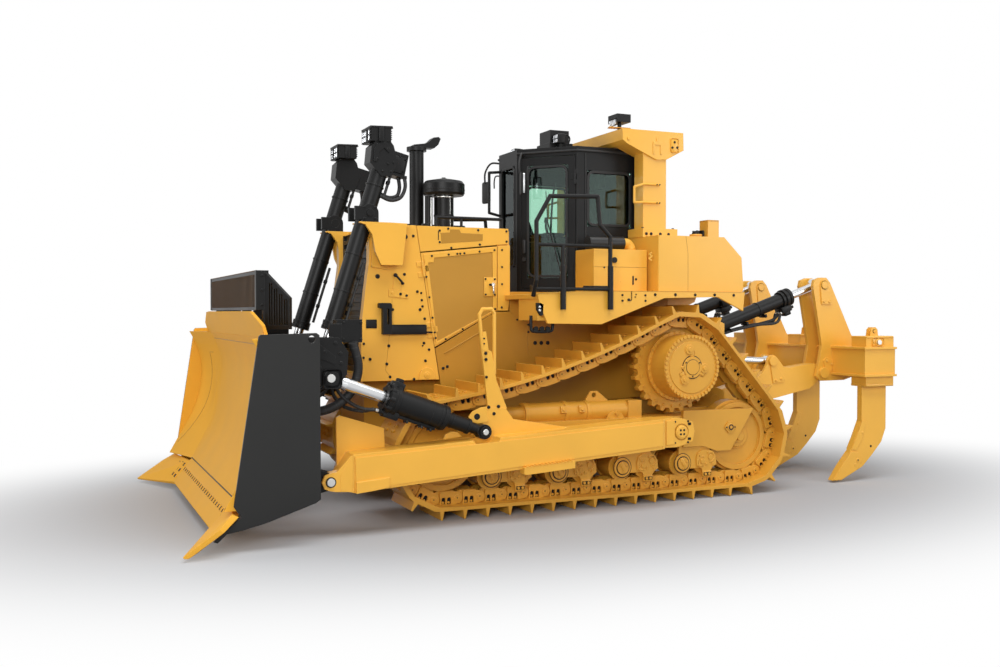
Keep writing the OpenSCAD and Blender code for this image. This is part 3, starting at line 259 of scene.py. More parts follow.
def facing(place, outward, along=(1, 0, 0)):
    """The frame at a place whose Z axis points outward and whose X axis lies along."""
    z = Vector(outward).normalized()
    x = Vector(along)
    x = (x - x.dot(z) * z).normalized()
    turn = Matrix((x, z.cross(x), z)).transposed().to_4x4()
    return Matrix.Translation(place) @ turn


def on_side(x, z, y, side):
    """The frame on a wall that faces the machine's left (side 1) or right (side -1), Y up."""
    return facing(at(x, side * y, z), (0, side, 0), (-side, 0, 0))


def disc(bm, spot, radius, height, start=0, sides=16, top=None, shift=(0, 0)):
    """A round boss on a frame, sizes in millimetres."""
    middle = Matrix.Translation((shift[0] / 1000, shift[1] / 1000, (start + height / 2) / 1000))
    bmesh.ops.create_cone(bm, cap_ends=True, segments=sides, radius1=radius / 1000,
        radius2=(radius if top is None else top) / 1000, depth=height / 1000, matrix=spot @ middle)


def brick(bm, spot, across, height, start=0, shift=(0, 0), round_off=0):
    """A rectangular block on a frame, with its upright corners rounded if asked."""
    size = Vector((across[0], across[1], height)) / 1000
    lift = Matrix.Translation((shift[0] / 1000, shift[1] / 1000, (start + height / 2) / 1000))
    made = bmesh.ops.create_cube(bm, size=1, matrix=spot @ lift @ Matrix.Diagonal((*size, 1)))
    if round_off:
        edges = dict.fromkeys(e for v in made["verts"] for e in v.link_edges)
        bmesh.ops.bevel(bm, geom=list(edges), offset=round_off / 1000, segments=2, profile=0.5,
            affect="EDGES", material=-1)


def on_top(x, y, z):
    """The frame on a level top."""
    return facing(at(x, y, z), (0, 0, 1))


def places(side, *spots):
    """Places on one side of the machine, each given as on its left."""
    return [at(x, side * y, z) for x, y, z in spots]


def flip(outline, side):
    """An outline in the machine's x and z, as a side wall's frame has it."""
    return [(-side * x, z) for x, z in outline]


def around(count, reach, lead=0):
    """Shifts spaced evenly round a circle."""
    turns = [math.tau * (k + lead) / count for k in range(count)]
    return [(reach * math.cos(a), reach * math.sin(a)) for a in turns]


def inside(spot, x, y, z=0):
    """A place in a frame, in millimetres."""
    return spot @ Vector((x / 1000, y / 1000, z / 1000))


def plate(bm, spot, outline, height, start=0, holes=()):
    """A flat plate on a frame: an outline with holes, raised by its thickness."""
    edges = []
    for ring in (outline, *holes):
        corners = [bm.verts.new(inside(spot, x, y, start)) for x, y in ring]
        edges += [bm.edges.new((a, b)) for a, b in zip(corners, corners[1:] + corners[:1])]
    if holes:
        filled = bmesh.ops.triangle_fill(bm, edges=edges, use_beauty=True)["geom"]
        faces = [f for f in filled if isinstance(f, bmesh.types.BMFace)]
    else:
        faces = [bm.faces.new(corners)]
    raised = bmesh.ops.extrude_face_region(bm, geom=faces)["geom"]
    bmesh.ops.translate(bm, verts=[v for v in raised if isinstance(v, bmesh.types.BMVert)],
        vec=spot.to_3x3() @ Vector((0, 0, height / 1000)))


def bolt(bm, spot, radius, shift=(0, 0)):
    """A flanged hexagon head."""
    disc(bm, spot, radius, 3, sides=12, shift=shift)
    disc(bm, spot, radius * 0.72, 9, start=3, sides=6, shift=shift)


def bolts(bm, spots, y, side, radius=None):
    """Bolts on a side wall at each x and z, with one radius or each with its own."""
    for x, z, *own in spots:
        bolt(bm, on_side(x, z, y, side), *(own or [radius]))


def curve_through(points, steps=6):
    """Points along a smooth curve through the given ones."""
    line = [Vector(p) for p in points]
    ends = [2 * line[0] - line[1], *line, 2 * line[-1] - line[-2]]
    result = []
    for a, b, c, d in zip(ends, ends[1:], ends[2:], ends[3:]):
        for k in range(steps):
            t = k / steps
            result.append(0.5 * (2 * b + (c - a) * t + (2 * a - 5 * b + 4 * c - d) * t * t
                                 + (3 * b - a - 3 * c + d) * t ** 3))
    return [*result, line[-1]]


def tube(bm, points, radius, sides=10):
    """A round bar or hose along places, its ends closed."""
    turn = None
    for i, here in enumerate(points):
        ahead = (points[min(i + 1, len(points) - 1)] - points[max(i - 1, 0)]).normalized()
        if turn is None:
            turn = ahead.to_track_quat("Z", "Y")
            spot = Matrix.Translation(here) @ turn.to_matrix().to_4x4()
            ring = bmesh.ops.create_circle(bm, cap_ends=True, segments=sides, radius=radius / 1000,
                matrix=spot)["verts"]
            end = ring[0].link_faces[0]
            continue
        turn = (turn @ Vector((0, 0, 1))).rotation_difference(ahead) @ turn
        before, spot = spot, Matrix.Translation(here) @ turn.to_matrix().to_4x4()
        drawn = bmesh.ops.extrude_face_region(bm, geom=[end])["geom"]
        end = next(f for f in drawn if isinstance(f, bmesh.types.BMFace))
        bmesh.ops.transform(bm, matrix=spot @ before.inverted(),
            verts=[v for v in drawn if isinstance(v, bmesh.types.BMVert)])


def panel(bm, y, side, outline, height):
    """A plate on a side wall, its outline given in the machine's x and z."""
    plate(bm, on_side(0, 0, y, side), flip(outline, side), height)


def hose(bm, side, radius, *spots, steps=6, sides=10):
    """A bent rod or hose through places on one side of the machine."""
    tube(bm, curve_through(places(side, *spots), steps), radius, sides)


def settle(name, bm, finish, body):
    """Makes the finished piece: closed, outward and smooth but for its real corners."""
    bmesh.ops.recalc_face_normals(bm, faces=bm.faces[:])
    mesh = bpy.data.meshes.new(name)
    bm.to_mesh(mesh)
    bm.free()
    mesh.shade_smooth()
    mesh.set_sharp_from_angle(angle=math.radians(38))
    mesh.materials.append(finish)
    made = bpy.data.objects.new(name, mesh)
    scene.collection.objects.link(made)
    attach(made, body)


# x, z and radius of the black bolts in the guard, hood and engine case sides
side_bolts = [(2861, 2748, 24), (2778, 2758, 15), (3156, 2343, 24), (2873, 2367, 16), (2735, 2193, 15),
    (2693, 2179, 12), (2688, 2107, 13), (2680, 2043, 13), (2706, 2010, 16), (2999, 2010, 16),
    (2656, 1916, 14), (3041, 1644, 16), (2665, 1667, 15), (2679, 1641, 9), (2610, 1600, 14),
    (3062, 1461, 16), (2649, 1486, 15), (3028, 1330, 15), (2772, 1300, 15), (3301, 1668, 13),
    (3304, 1528, 13), (3236, 1512, 16), (2398, 2845, 12), (2492, 2822, 12), (2492, 2704, 12),
    (2063, 2840, 12), (1740, 2838, 12), (1738, 2730, 12), (2363, 2648, 12), (2045, 2690, 12),
    (1794, 2034, 12), (1790, 2640, 11), (1790, 2460, 11), (1790, 2280, 11), (1402, 1654, 22),
    (1328, 1653, 22), (1251, 1652, 22), (1482, 1849, 12), (1481, 1771, 12), (1614, 1904, 11),
    (1541, 1904, 11), (2455, 1404, 16), (2409, 1421, 16), (2420, 1210, 14), (1079, 1369, 12),
    (905, 1422, 12), (661, 1505, 12)]
bm = bmesh.new()
for side in (1, -1):
    bolts(bm, side_bolts, side_y, side)
settle("side_bolts", bm, black, "tractor")

# the guard's lock-off bracket, the folded edge under the ear and the round-topped pad
bm = bmesh.new()
for side in (1, -1):
    panel(bm, side_y, side, [(3042, 2212), (2918, 2206), (2835, 2172), (2837, 2122), (3042, 2143)], 9)
    panel(bm, side_y, side, [(2998, 2212), (2990, 2300), (2960, 2370), (2925, 2300), (2905, 2206)], 5)
    disc(bm, on_side(3005, 2179, side_y, side), 12, 16)
    panel(bm, side_y, side, [(2724, 1293), (2718, 1340), (2694, 1393), (2640, 1420), (2586, 1408),
        (2556, 1360), (2550, 1293)], 16)
    disc(bm, on_side(2634, 1340, side_y, side), 32, 22)
    disc(bm, on_side(2634, 1340, side_y, side), 12, 4, start=22)
    # the folded strip below the ear and the flanges of the hood strip
    panel(bm, side_y, side, [(3215, 2690), (2990, 2702), (3050, 2410), (3226, 2438)], 26)
settle("guard_pads", bm, yellow, "tractor")

bm = bmesh.new()
for side in (1, -1):
    wall = on_side(0, 0, side_y, side)
    hose(bm, side, 11, (2972, side_y + 18, 2358), (2935, side_y + 30, 2316), (2893, side_y + 22, 2272))
    disc(bm, on_side(2972, 2358, side_y, side), 19, 22)
    disc(bm, on_side(2896, 2275, side_y, side), 15, 20)
    bolt(bm, on_side(2918, 2167, side_y + 9, side), 15)
    bolt(bm, on_side(2853, 2152, side_y + 9, side), 13)
    # a lock box: a tall grip beside a long flat case, with its pull rod behind
    plate(bm, wall, flip([(3118, 1761), (3118, 2020), (3158, 2030), (3158, 2066), (3148, 2076),
        (3040, 2076), (3026, 2062), (3026, 1761)], side), 62, holes=[flip([(3073, 1860), (3073, 2018),
        (3051, 2018), (3051, 1860)], side)])
    brick(bm, wall, (376, 96), 54, shift=(-side * 2838, 1806), round_off=8)
    brick(bm, wall, (340, 12), 60, shift=(-side * 2838, 1852))
    tube(bm, places(side, (2660, side_y + 18, 1779), (2545, side_y + 18, 1776)), 9)
    brick(bm, wall, (112, 88), 7, shift=(-side * 3222, 1866), round_off=6)
settle("guard_lock_box", bm, black, "tractor")

# folded seams where the plates of the guard and case lap
bm = bmesh.new()
for side in (1, -1):
    for line, width in (([(3005, 2120), (3004, 2030), (3062, 1480), (3078, 1400), (3035, 1345)], 4),
            ([(1560, 1890), (1508, 1866), (1490, 1820), (1490, 1560), (1460, 1520)], 4),
            ([(2440, 1560), (1990, 1800)], 16), ([(2440, 1535), (2240, 1640)], 5),
            ([(1700, 1990), (1640, 1940), (1480, 1935)], 5)):
        for a, b in zip(line, line[1:]):
            tube(bm, places(side, (a[0], side_y - 0.5, a[1]), (b[0], side_y - 0.5, b[1])), width / 2,
                sides=6)
settle("lapped_seams", bm, ochre, "tractor")

# hood strip: a thin ochre plate as painted shade in the recess behind a slot
strip = [(2484, 2800), (2377, 2807), (2376, 2838), (2274, 2840), (2256, 2805), (2010, 2800), (2014, 2729),
    (2471, 2690)]
bm = bmesh.new()
for side in (1, -1):
    panel(bm, side_y, side, strip, 1.5)
settle("hood_recess_painted_shade", bm, ochre, "tractor")
# a black bar as painted shade in the slot
bm = bmesh.new()
for side in (1, -1):
    brick(bm, on_side(2506, 2770, side_y, side), (9, 88), 2)
settle("hood_slot_painted_shade", bm, black, "tractor")

# perforated steel: staggered round holes, each a dimple painted dark as the shade seen through it
screen = enamel("perforated_screen_enamel", (0.50, 0.250, 0.030), rough=0.5, coat=0.05)
tree, shader, place = shader_of(screen)
grid = 1 / 0.011
spread = knot(tree, "ShaderNodeMapping", {"Vector": place, "Scale": (grid, grid, grid)})
cells = knot(tree, "ShaderNodeTexVoronoi", {"Vector": spread.outputs["Vector"], "Scale": 1,
    "Randomness": 0.08})
hole = knot(tree, "ShaderNodeMapRange", {"Value": cells.outputs["Distance"], "From Min": 0.20,
    "From Max": 0.32})
screen_with_hole_shade = knot(tree, "ShaderNodeMix", {"Factor": hole.outputs["Result"], "A": (0.10, 0.050, 0.010, 1),
    "B": fed(shader, "Base Color")}, data_type="RGBA")
dent = knot(tree, "ShaderNodeBump", {"Height": hole.outputs["Result"], "Normal": fed(shader, "Normal"),
    "Strength": 0.5, "Distance": 0.002})
feed(tree, shader, {"Base Color": screen_with_hole_shade.outputs["Result"], "Normal": dent.outputs["Normal"]})

mesh_panel = [(2620, 2489), (2560, 2495), (2555, 2541), (1902, 2616), (1896, 1998), (2520, 1684)]
door_outline = [(2672, 2575), (1855, 2668), (1855, 2012), (2534, 1646)]
door_bolts = [(2580, 2560), (2395, 2578), (2300, 2587), (2268, 2590), (2221, 2596), (2050, 2617),
    (1880, 2636), (2640, 2345), (2607, 2137), (2574, 1927), (2541, 1719), (2430, 1706), (2241, 1808),
    (2056, 1908), (1874, 2018)]
latch_bolts = [(1985, 2332), (1879, 2331), (1984, 2168), (1878, 2166)]
for side, word in ((1, "left"), (-1, "right")):
    body = "engine_door_" + word
    wall = on_side(0, 0, side_y, side)
    outline = flip(door_outline, side)
    opening = flip(mesh_panel, side)
    bm = bmesh.new()
    plate(bm, wall, opening, 1.5)
    settle("door_screen_" + word, bm, screen, body)
    bm = bmesh.new()
    plate(bm, wall, outline, 7, holes=[opening])
    brick(bm, wall, (138, 200), 12, shift=(-side * 1931, 2249), round_off=6)
    settle("door_rim_" + word, bm, yellow, body)
    bm = bmesh.new()
    bolts(bm, door_bolts, side_y + 7, side, 11)
    bolts(bm, latch_bolts, side_y + 12, side, 11)
    brick(bm, wall, (44, 20), 22, start=12, shift=(-side * 1926, 2272), round_off=5)
    settle("door_bolts_" + word, bm, black, body)
    bm = bmesh.new()
    disc(bm, on_side(1904, 2272, side_y + 12, side), 19, 24)
    hose(bm, side, 10, (1904, side_y + 30, 2270), (1902, side_y + 34, 2225), (1897, side_y + 28, 2180))
    settle("door_handle_" + word, bm, steel, body)


# ---- Stack and air intake -----------------------------------------------------------
# A plain black stack with a bolted collar, and a spun air pre-cleaner whose bowl is
# clamped on its neck by a bright band.
hood_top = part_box("hood")[1].z * 1000
bm = bmesh.new()
foot = on_top(2488, -110, hood_top)
for spot in around(6, 112):
    bolt(bm, foot, 10, shift=spot)
disc(bm, foot, 96, 14, sides=32)
neck = on_top(2254, 110, hood_top)
disc(bm, neck, 118, 16, sides=40)
disc(bm, neck, 110, 20, start=150, sides=40)
disc(bm, neck, 230, 8, start=430, sides=48)
disc(bm, neck, 60, 10, start=550, sides=24, top=44)
disc(bm, neck, 22, 12, start=560, sides=12)
settle("intake_rings", bm, black, "tractor")
bm = bmesh.new()
disc(bm, neck, 109, 12, start=352, sides=40)
for x in (-96, -60, 120):
    disc(bm, neck, 5, 340, start=2, sides=8, shift=(60 + x, 96))
brick(bm, neck, (26, 14), 16, start=350, shift=(0, 112))
settle("intake_clamps", bm, steel, "tractor")
# blocks for the bolts and caps that stand on the hood's front
bm = bmesh.new()
for side in (1, -1):
    for x, y, width, height in ((2700, 430, 90, 26), (2610, 500, 60, 34), (2800, 520, 46, 22)):
        brick(bm, on_top(x, side * y, hood_top + 1), (width, 46), height, round_off=6)
settle("hood_lugs", bm, black, "tractor")


# ---- Fenders, tank and rollover frame -----------------------------------------------
# The fenders are folded decks bolted along their skirts; the tank drops on them behind
# the cab. The rollover frame is welded box section, bolted down through its feet.
skirt_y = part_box("fenders")[1].y * 1000
tank_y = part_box("fuel_tank")[1].y * 1000
tank_top = 2790.5
roof_top = 3940.5
rail_y, receiver_y, receiver_z = 1220, 1010, 2716.3

bm = bmesh.new()
for side in (1, -1):
    bolts(bm, ((801, 2159, 12), (800, 2101, 12), (527, 2158, 12), (526, 2101, 12), (408, 2165, 16),
        (160, 2167, 16), (-87, 2166, 16), (-335, 2168, 16), (-581, 2166, 16), (640, 2166, 7),
        (650, 2140, 7)), skirt_y, side)
    # the deck latch, its rod turned up
    disc(bm, on_side(728, 2111, skirt_y, side), 14, 10)
    hose(bm, side, 4, (728, skirt_y + 5, 2108), (706, skirt_y + 5, 2104), (694, skirt_y + 5, 2118),
        (694, skirt_y + 5, 2198), sides=6)
    # step loop hung under the front of the fender
    hose(bm, side, 17, (1775, 1300, 1950), (1775, 1300, 1830), (1745, 1300, 1792), (1570, 1300, 1792),
        (1535, 1300, 1830), (1535, 1300, 1950), steps=5, sides=8)
    tread = on_side(1657, 1794, 1300, side)
    for x in (-66, 0, 66):
        disc(bm, tread, 24, 30, start=-15, shift=(x, 24), sides=12)
    # front bracket of the skirt
    panel(bm, skirt_y - 26, side, [(1776, 2075), (1772, 2006), (1730, 1948), (1706, 1950), (1700, 2060),
        (1728, 2075)], 26)
settle("fender_fasteners", bm, black, "tractor")
bm = bmesh.new()
for side in (1, -1):
    bolts(bm, ((1742, 2035), (1742, 2001)), skirt_y, side, 13)
settle("skirt_bracket_bolts", bm, steel, "tractor")

# seams between the tank's shells and in the boxes, and the black slots beside them
bm = bmesh.new()
for side in (1, -1):
    for (x0, z0), (x1, z1) in (((2, 2789), (-26, 2606)), ((-26, 2606), (-27, 2204))):
        tube(bm, places(side, (x0, tank_y - 1.5, z0), (x1, tank_y - 1.5, z1)), 3.5, sides=6)
    box_side = on_side(0, 0, rail_y, side)
    for a, b in (((1016, 2455), (384, 2455)), ((800, 2640), (800, 2204))):
        tube(bm, places(side, (a[0], rail_y - 1, a[1]), (b[0], rail_y - 1, b[1])), 3, sides=6)
    brick(bm, box_side, (5, 5), 1, shift=(-side * 700, 2300))
    tube(bm, places(side, (1199, skirt_y + 0.2, 2200), (-725, skirt_y + 0.2, 2200)), 2.5, sides=6)
settle("tank_seams", bm, ochre, "tractor")

bm = bmesh.new()
for side in (1, -1):
    # lifting eye and filler of the tank, the breather box and its lid
    disc(bm, on_top(-380, side * 1010, tank_top + 36), 70, 16, sides=32)
    brick(bm, on_top(-578, side * 980, tank_top + 205), (150, 166), 5, round_off=8)
    hose(bm, side, 9, (414, 1372, 2520), (440, 1362, 2545), (412, 1374, 2566), (440, 1362, 2585),
        (414, 1372, 2606), sides=8)
    # elbow from the receiver down into its box
    hose(bm, side, 58, (566, 1010, 2716), (500, 1010, 2712), (462, 1010, 2672), (458, 1010, 2634), sides=20)
# cradle under the tank, between the fenders
plate(bm, on_side(0, 0, 600, 1), [(250, 2203), (690, 2203), (650, 2100), (440, 2010), (250, 1975)], 1200,
    start=-1200)
settle("tank_fittings", bm, yellow, "tractor")
bm = bmesh.new()
for side in (1, -1):
    spot = on_top(-380, side * 1010, tank_top + 52)
    disc(bm, spot, 46, 26, sides=24, top=38)
    brick(bm, spot, (84, 16), 12, start=26)
    brick(bm, facing(at(-484, side * 980, tank_top + 60), (1, 0, 0), (0, 1, 0)), (90, 80), 26, round_off=6)
    hose(bm, side, 7, (-470, 960, tank_top + 90), (-430, 950, tank_top + 96), (-400, 960, tank_top + 70),
        sides=8)
    disc(bm, on_side(776, 2527, rail_y, side), 30, 14, sides=20)
    # bands of the receiver
    for x in (620, 780, 900):
        disc(bm, facing(at(x, side * receiver_y, receiver_z), (1, 0, 0)), 80, 16, sides=32)
    brick(bm, facing(at(968, side * receiver_y, receiver_z), (1, 0, 0)), (60, 60), 26, round_off=8)
    box_side = on_side(0, 0, rail_y, side)
    brick(bm, box_side, (16, 92), 4, shift=(-side * 549, 2318))
    bolt(bm, box_side, 13, shift=(-side * 513, 2330))
    bolt(bm, box_side, 10, shift=(-side * 895, 2449))
    # kick plate between the deck and the rail
    brick(bm, on_side(1000, 2226, rail_y + 2, side), (290, 60), 6)
    brick(bm, on_side(1618, 2230, 1010, side), (64, 66), 60)
settle("tank_caps", bm, black, "tractor")

bm = bmesh.new()
for side in (1, -1):
    end = on_side(0, 0, 1040, side)
    # end plate of the canopy: jacking pocket, gusset and bolt pad
    brick(bm, end, (96, 152), 9, shift=(side * 76, 3796), round_off=14)
    panel(bm, 1040, side, [(196, 3690), (196, 3820), (150, 3824), (150, 3868), (126, 3868), (126, 3824),
        (84, 3820), (84, 3690), (104, 3690), (104, 3790), (176, 3790), (176, 3690)], 7)
    disc(bm, on_side(500, 3838, 1040, side), 17, 10)
    tube(bm, places(side, (306, 905, 3706), (350, 905, 3752)), 20)
    # caps on the lower flanges and pads under the lamp
    brick(bm, on_top(40, side * 930, roof_top), (180, 120), 8, round_off=6)
    brick(bm, on_top(415, side * 700, roof_top), (170, 100), 12, round_off=4)
    plate(bm, on_top(415, side * 700, roof_top + 60), [(-150, -30), (120, -50), (150, 40), (-110, 56)], 8)
    for x in (24, 298):
        tube(bm, places(side, (x, 1018, 2886), (x, 1018, 3620)), 3, sides=6)
settle("canopy_plates", bm, yellow, "tractor")
bm = bmesh.new()
for side in (1, -1):
    bolts(bm, ((-73, 3832), (-46, 3772), (-108, 3776)), 1049, side, 13)
    bolts(bm, ((143, 3363), (108, 3363), (143, 3166), (108, 3166)), 1036, side, 9)
    bolts(bm, ((240, 2826), (124, 2826), (21, 2826), (300, 2826)), 1080, side, 17)
    for x, y in ((-60, 1040), (-60, 830), (322, 1040), (322, 830)):
        bolt(bm, on_top(x, side * y, 2885.5), 18)
settle("canopy_bolts", bm, black, "tractor")

# lamp faces: clear panes with a bright reflector behind
lens = bpy.data.materials.new("lamp_lens")
tree, shader, place = shader_of(lens)
ribs = knot(tree, "ShaderNodeTexWave", {"Vector": place, "Scale": 30}, bands_direction="Z").outputs["Fac"]
ridge = knot(tree, "ShaderNodeBump", {"Height": ribs, "Strength": 0.4, "Distance": 0.002})
tint = knot(tree, "ShaderNodeMix", {"Factor": ribs, "A": (0.55, 0.57, 0.60, 1),
    "B": (0.86, 0.88, 0.90, 1)}, data_type="RGBA")
feed(tree, shader, {"Base Color": tint.outputs["Result"], "Normal": ridge.outputs["Normal"],
    "Roughness": 0.12, "Metallic": 0.6})

bm = bmesh.new()
rims = bmesh.new()
wide, tall = 150, 70
face = facing(at(500, 700, 4059), (1, 0, 0), (0, 1, 0))
for half in (-1, 1):
    brick(bm, face, (wide * 0.42, tall * 0.8), 4, shift=(half * wide * 0.25, 0), round_off=6)
for half in (1, -1):
    brick(rims, face, (wide * 1.1, 8), 8, shift=(0, half * tall * 0.55))
# side lamp on the cab roof with its looped lead, and the ribs of the roof box
for side in (1, -1):
    stand = facing(at(1080, side * 560, 3760), (0, 0, 1))
    brick(rims, stand, (120, 80), 10)
    brick(rims, stand, (30, 60), 50, start=10)
    brick(rims, stand, (92, 110), 104, start=52, round_off=12)
    hose(rims, side, 8, (1050, 560, 3880), (1000, 570, 3915), (960, 570, 3870), (985, 560, 3780), sides=8)
    for dz in (-22, 22):
        brick(bm, facing(at(1126, side * 560, 3864 + dz), (1, 0, 0), (0, 1, 0)), (84, 36), 4, round_off=6)
settle("roof_lamp_faces", bm, lens, "tractor")
settle("roof_lamp_rims", rims, black, "tractor")

# receivers lie on the yellow boxes in one node: black above the box top
boxed = enamel("box_and_receiver_enamel", (0.86, 0.45, 0.056))
tree, shader, place = shader_of(boxed)
parts = knot(tree, "ShaderNodeSeparateXYZ", {0: place})
above = knot(tree, "ShaderNodeMath", {0: parts.outputs["Z"], 1: 2.6403}, operation="GREATER_THAN")
pick = knot(tree, "ShaderNodeMix", {"Factor": above.outputs[0], "A": fed(shader, "Base Color"),
    "B": (0.007, 0.007, 0.007, 1)}, data_type="RGBA")
feed(tree, shader, {"Base Color": pick.outputs["Result"]})
dress(boxed, "side_boxes")


# ---- Cab ---------------------------------------------------------------------------
# A welded black cab with bonded green-tinted panes in rubber, a wiper on each door,
# mirrors on the front posts and a sprung seat in ribbed vinyl.
cab_side = 760
nose_x, nose_half, hinge_x = 1445, 245, 970
slope = math.atan2(nose_half - cab_side, nose_x - hinge_x)
leaf = math.hypot(nose_x - hinge_x, cab_side - nose_half)


def door_plane(side):
    """The frame of a door: X from its hinge to its front edge, Y up, Z outward."""
    along = Vector((math.cos(slope), side * math.sin(slope), 0))
    outward = Vector((-math.sin(slope), side * math.cos(slope), 0))
    spot = facing(at(hinge_x, side * cab_side, 0), outward, along)
    if (spot.to_3x3() @ Vector((0, 1, 0))).z < 0:
        spot = facing(at(hinge_x, side * cab_side, 0), outward, -along)
    return spot, (spot.to_3x3() @ Vector((1, 0, 0))).dot(along)


def window_trim(bm, spot, side, x0, x1, z0, z1, wide, corner=50):
    """A flat frame with rounded corners round a window."""
    rings = []
    for grow in (wide, 0):
        ring = []
        for cx, cz, start in ((x1 - corner, z1 - corner, 0), (x0 + corner, z1 - corner, 90),
                (x0 + corner, z0 + corner, 180), (x1 - corner, z0 + corner, 270)):
            for k in range(5):
                angle = math.radians(start + 22.5 * k)
                ring.append((cx + (corner + grow) * math.cos(angle),
                    cz + (corner + grow) * math.sin(angle)))
        rings.append(flip(ring, side))
    plate(bm, spot, rings[0], 5, holes=[rings[1]])


bm = bmesh.new()
for side in (1, -1):
    window_trim(bm, on_side(0, 0, cab_side, side), side, 328, 822, 2942, 3486, 28)
    tube(bm, places(side, (868, cab_side + 4, 2250), (868, cab_side + 4, 3700)), 7, sides=6)
    # rain gutter over doors and windows
    tube(bm, places(side, (190, cab_side + 6, 3722), (hinge_x, cab_side + 6, 3722),
        (nose_x, nose_half + 6, 3722)), 14, sides=8)
window_trim(bm, facing(at(nose_x, 0, 0), (1, 0, 0), (0, 1, 0)), -1, -165, 165, 2500, 3580, 24)
window_trim(bm, facing(at(170, 0, 0), (-1, 0, 0), (0, -1, 0)), -1, -575, 575, 2925, 3535, 28)
# mirrors on bowed arms from the front posts
for side in (1, -1):
    hose(bm, side, 11, (1400, 300, 3690), (1470, 420, 3700), (1520, 470, 3600), (1520, 480, 3480), sides=8)
    brick(bm, facing(at(1520, side * 486, 3370), (-1, side * 0.35, 0), (0, 0, 1)), (250, 120), 34,
        round_off=22)
    hose(bm, side, 8, (1350, 400, 3560), (1400, 440, 3560), (1415, 450, 3500), (1415, 450, 3420), sides=8)
settle("cab_trim", bm, rubber, "tractor")
bm = bmesh.new()
for side in (1, -1):
    brick(bm, facing(at(1518, side * 484, 3370), (-1, side * 0.35, 0), (0, 0, 1)), (216, 92), 3, start=34,
        round_off=14)
settle("mirror_glass", bm, chrome, "tractor")

for side, word in ((1, "left"), (-1, "right")):
    spot, sign = door_plane(side)
    bm = bmesh.new()
    window_trim(bm, spot, -sign, 132, leaf - 148, 2388, 3552, 26, corner=60)
    # handle, lock, wiper and its arm, and the grab bar inside the door
    brick(bm, spot, (38, 150), 30, shift=(sign * (leaf - 92), 2700), round_off=10)
    disc(bm, spot, 22, 34, shift=(sign * (leaf - 96), 2560))
    brick(bm, spot, (90, 60), 26, shift=(sign * 160, 2352), round_off=10)
    for a, b, radius in (((160, 2360), (330, 2960), 7), ((318, 2760), (352, 3300), 5)):
        tube(bm, [inside(spot, sign * a[0], a[1], 24), inside(spot, sign * b[0], b[1], 18)], radius,
            sides=6)
    grab = ((170, 2700), (200, 2420), (300, 2360), (330, 2500), (300, 3200), (250, 3400))
    tube(bm, curve_through([inside(spot, sign * x, z, -45) for x, z in grab]), 12, sides=8)
    settle("door_trim_" + word, bm, rubber, "cab_door_" + word)

# inside: console, levers and the wheel-less steering pods either side of the seat
bm = bmesh.new()
for y in (-360, 360):
    brick(bm, on_top(700, y, 2860), (240, 130), 60, round_off=20)
    tube(bm, curve_through([at(770, y, 2910), at(790, y, 2990), at(785, y, 3050)]), 14, sides=8)
    disc(bm, on_top(785, y, 3040), 26, 60, top=20)
brick(bm, on_top(1200, 0, 2245), (160, 420), 520, round_off=20)
brick(bm, facing(at(1235, 0, 2900), (-1, 0, 0.4), (0, 1, 0)), (260, 180), 40, round_off=14)
tube(bm, [at(1240, 0, 2760), at(1240, 0, 2880)], 20)
settle("cab_controls", bm, black, "tractor")

vinyl = enamel("ribbed_seat_vinyl", (0.020, 0.021, 0.021), rough=0.62, coat=0, edge=1.2, ripple=0.4)
tree, shader, place = shader_of(vinyl)
flutes = knot(tree, "ShaderNodeTexWave", {"Vector": place, "Scale": 9}, bands_direction="Y")
sewn = knot(tree, "ShaderNodeBump", {"Height": flutes.outputs["Fac"], "Normal": fed(shader, "Normal"),
    "Strength": 0.7, "Distance": 0.008})
feed(tree, shader, {"Normal": sewn.outputs["Normal"]})
dress(vinyl, "operator_seat")


# ---- Undercarriage ------------------------------------------------------------------
# Welded roller frames carry forged chains with grouser shoes bolted on. The rollers turn
# in cast bogies; the cover of each final drive is closed by a ring of bolts.
sprocket, front_idler, rear_idler = Vector((0, 1405)), Vector((2705, 620)), Vector((-765, 620))
idler_wrap, sprocket_wrap = 441, 482.5


def heading(v):
    return math.atan2(v.y, v.x)


def toward(angle):
    return Vector((math.cos(angle), math.sin(angle)))


# the pin line of the chain: straight under the rollers, hanging over the top
upper = (front_idler - sprocket).length
hang = upper ** 2 / (8 * 120)
along = ((hang + idler_wrap) ** 2 - (hang + sprocket_wrap) ** 2 + upper ** 2) / (2 * upper)
lean = heading(sprocket - front_idler)
below = math.sqrt((hang + idler_wrap) ** 2 - along ** 2)
hollow = front_idler + along * toward(lean) + below * toward(lean - math.pi / 2)
leave = heading(hollow - front_idler)
meet = heading(hollow - sprocket)
descent = (rear_idler - sprocket).length
part = math.tau + heading(rear_idler - sprocket) - math.acos((sprocket_wrap - idler_wrap) / descent)
slant = math.sqrt(descent ** 2 - (sprocket_wrap - idler_wrap) ** 2)
sole = front_idler.x - rear_idler.x
# each stretch: its length, its start or centre, the heading or angle it starts at, its radius
stretches = [
    (sole, rear_idler - Vector((0, idler_wrap)), 0, 0),
    (idler_wrap * (leave + math.pi / 2), front_idler, -math.pi / 2, idler_wrap),
    (hang * (leave - meet), hollow, leave + math.pi, -hang),
    (sprocket_wrap * (part - meet), sprocket, meet, sprocket_wrap),
    (slant, sprocket + sprocket_wrap * toward(part), part + math.pi / 2, 0),
    (idler_wrap * (1.5 * math.pi - part), rear_idler, part, idler_wrap)]
loop = sum(row[0] for row in stretches)
shoes = round(loop / 240)
pitch = loop / shoes


def on_chain(s):
    """Point and heading on the pin line."""
    for length, spot, angle, radius in stretches:
        if s <= length:
            break
        s -= length
    if radius == 0:
        return spot + s * toward(angle), angle
    turned = angle + s / radius
    return spot + abs(radius) * toward(turned), turned + math.copysign(math.pi / 2, radius)


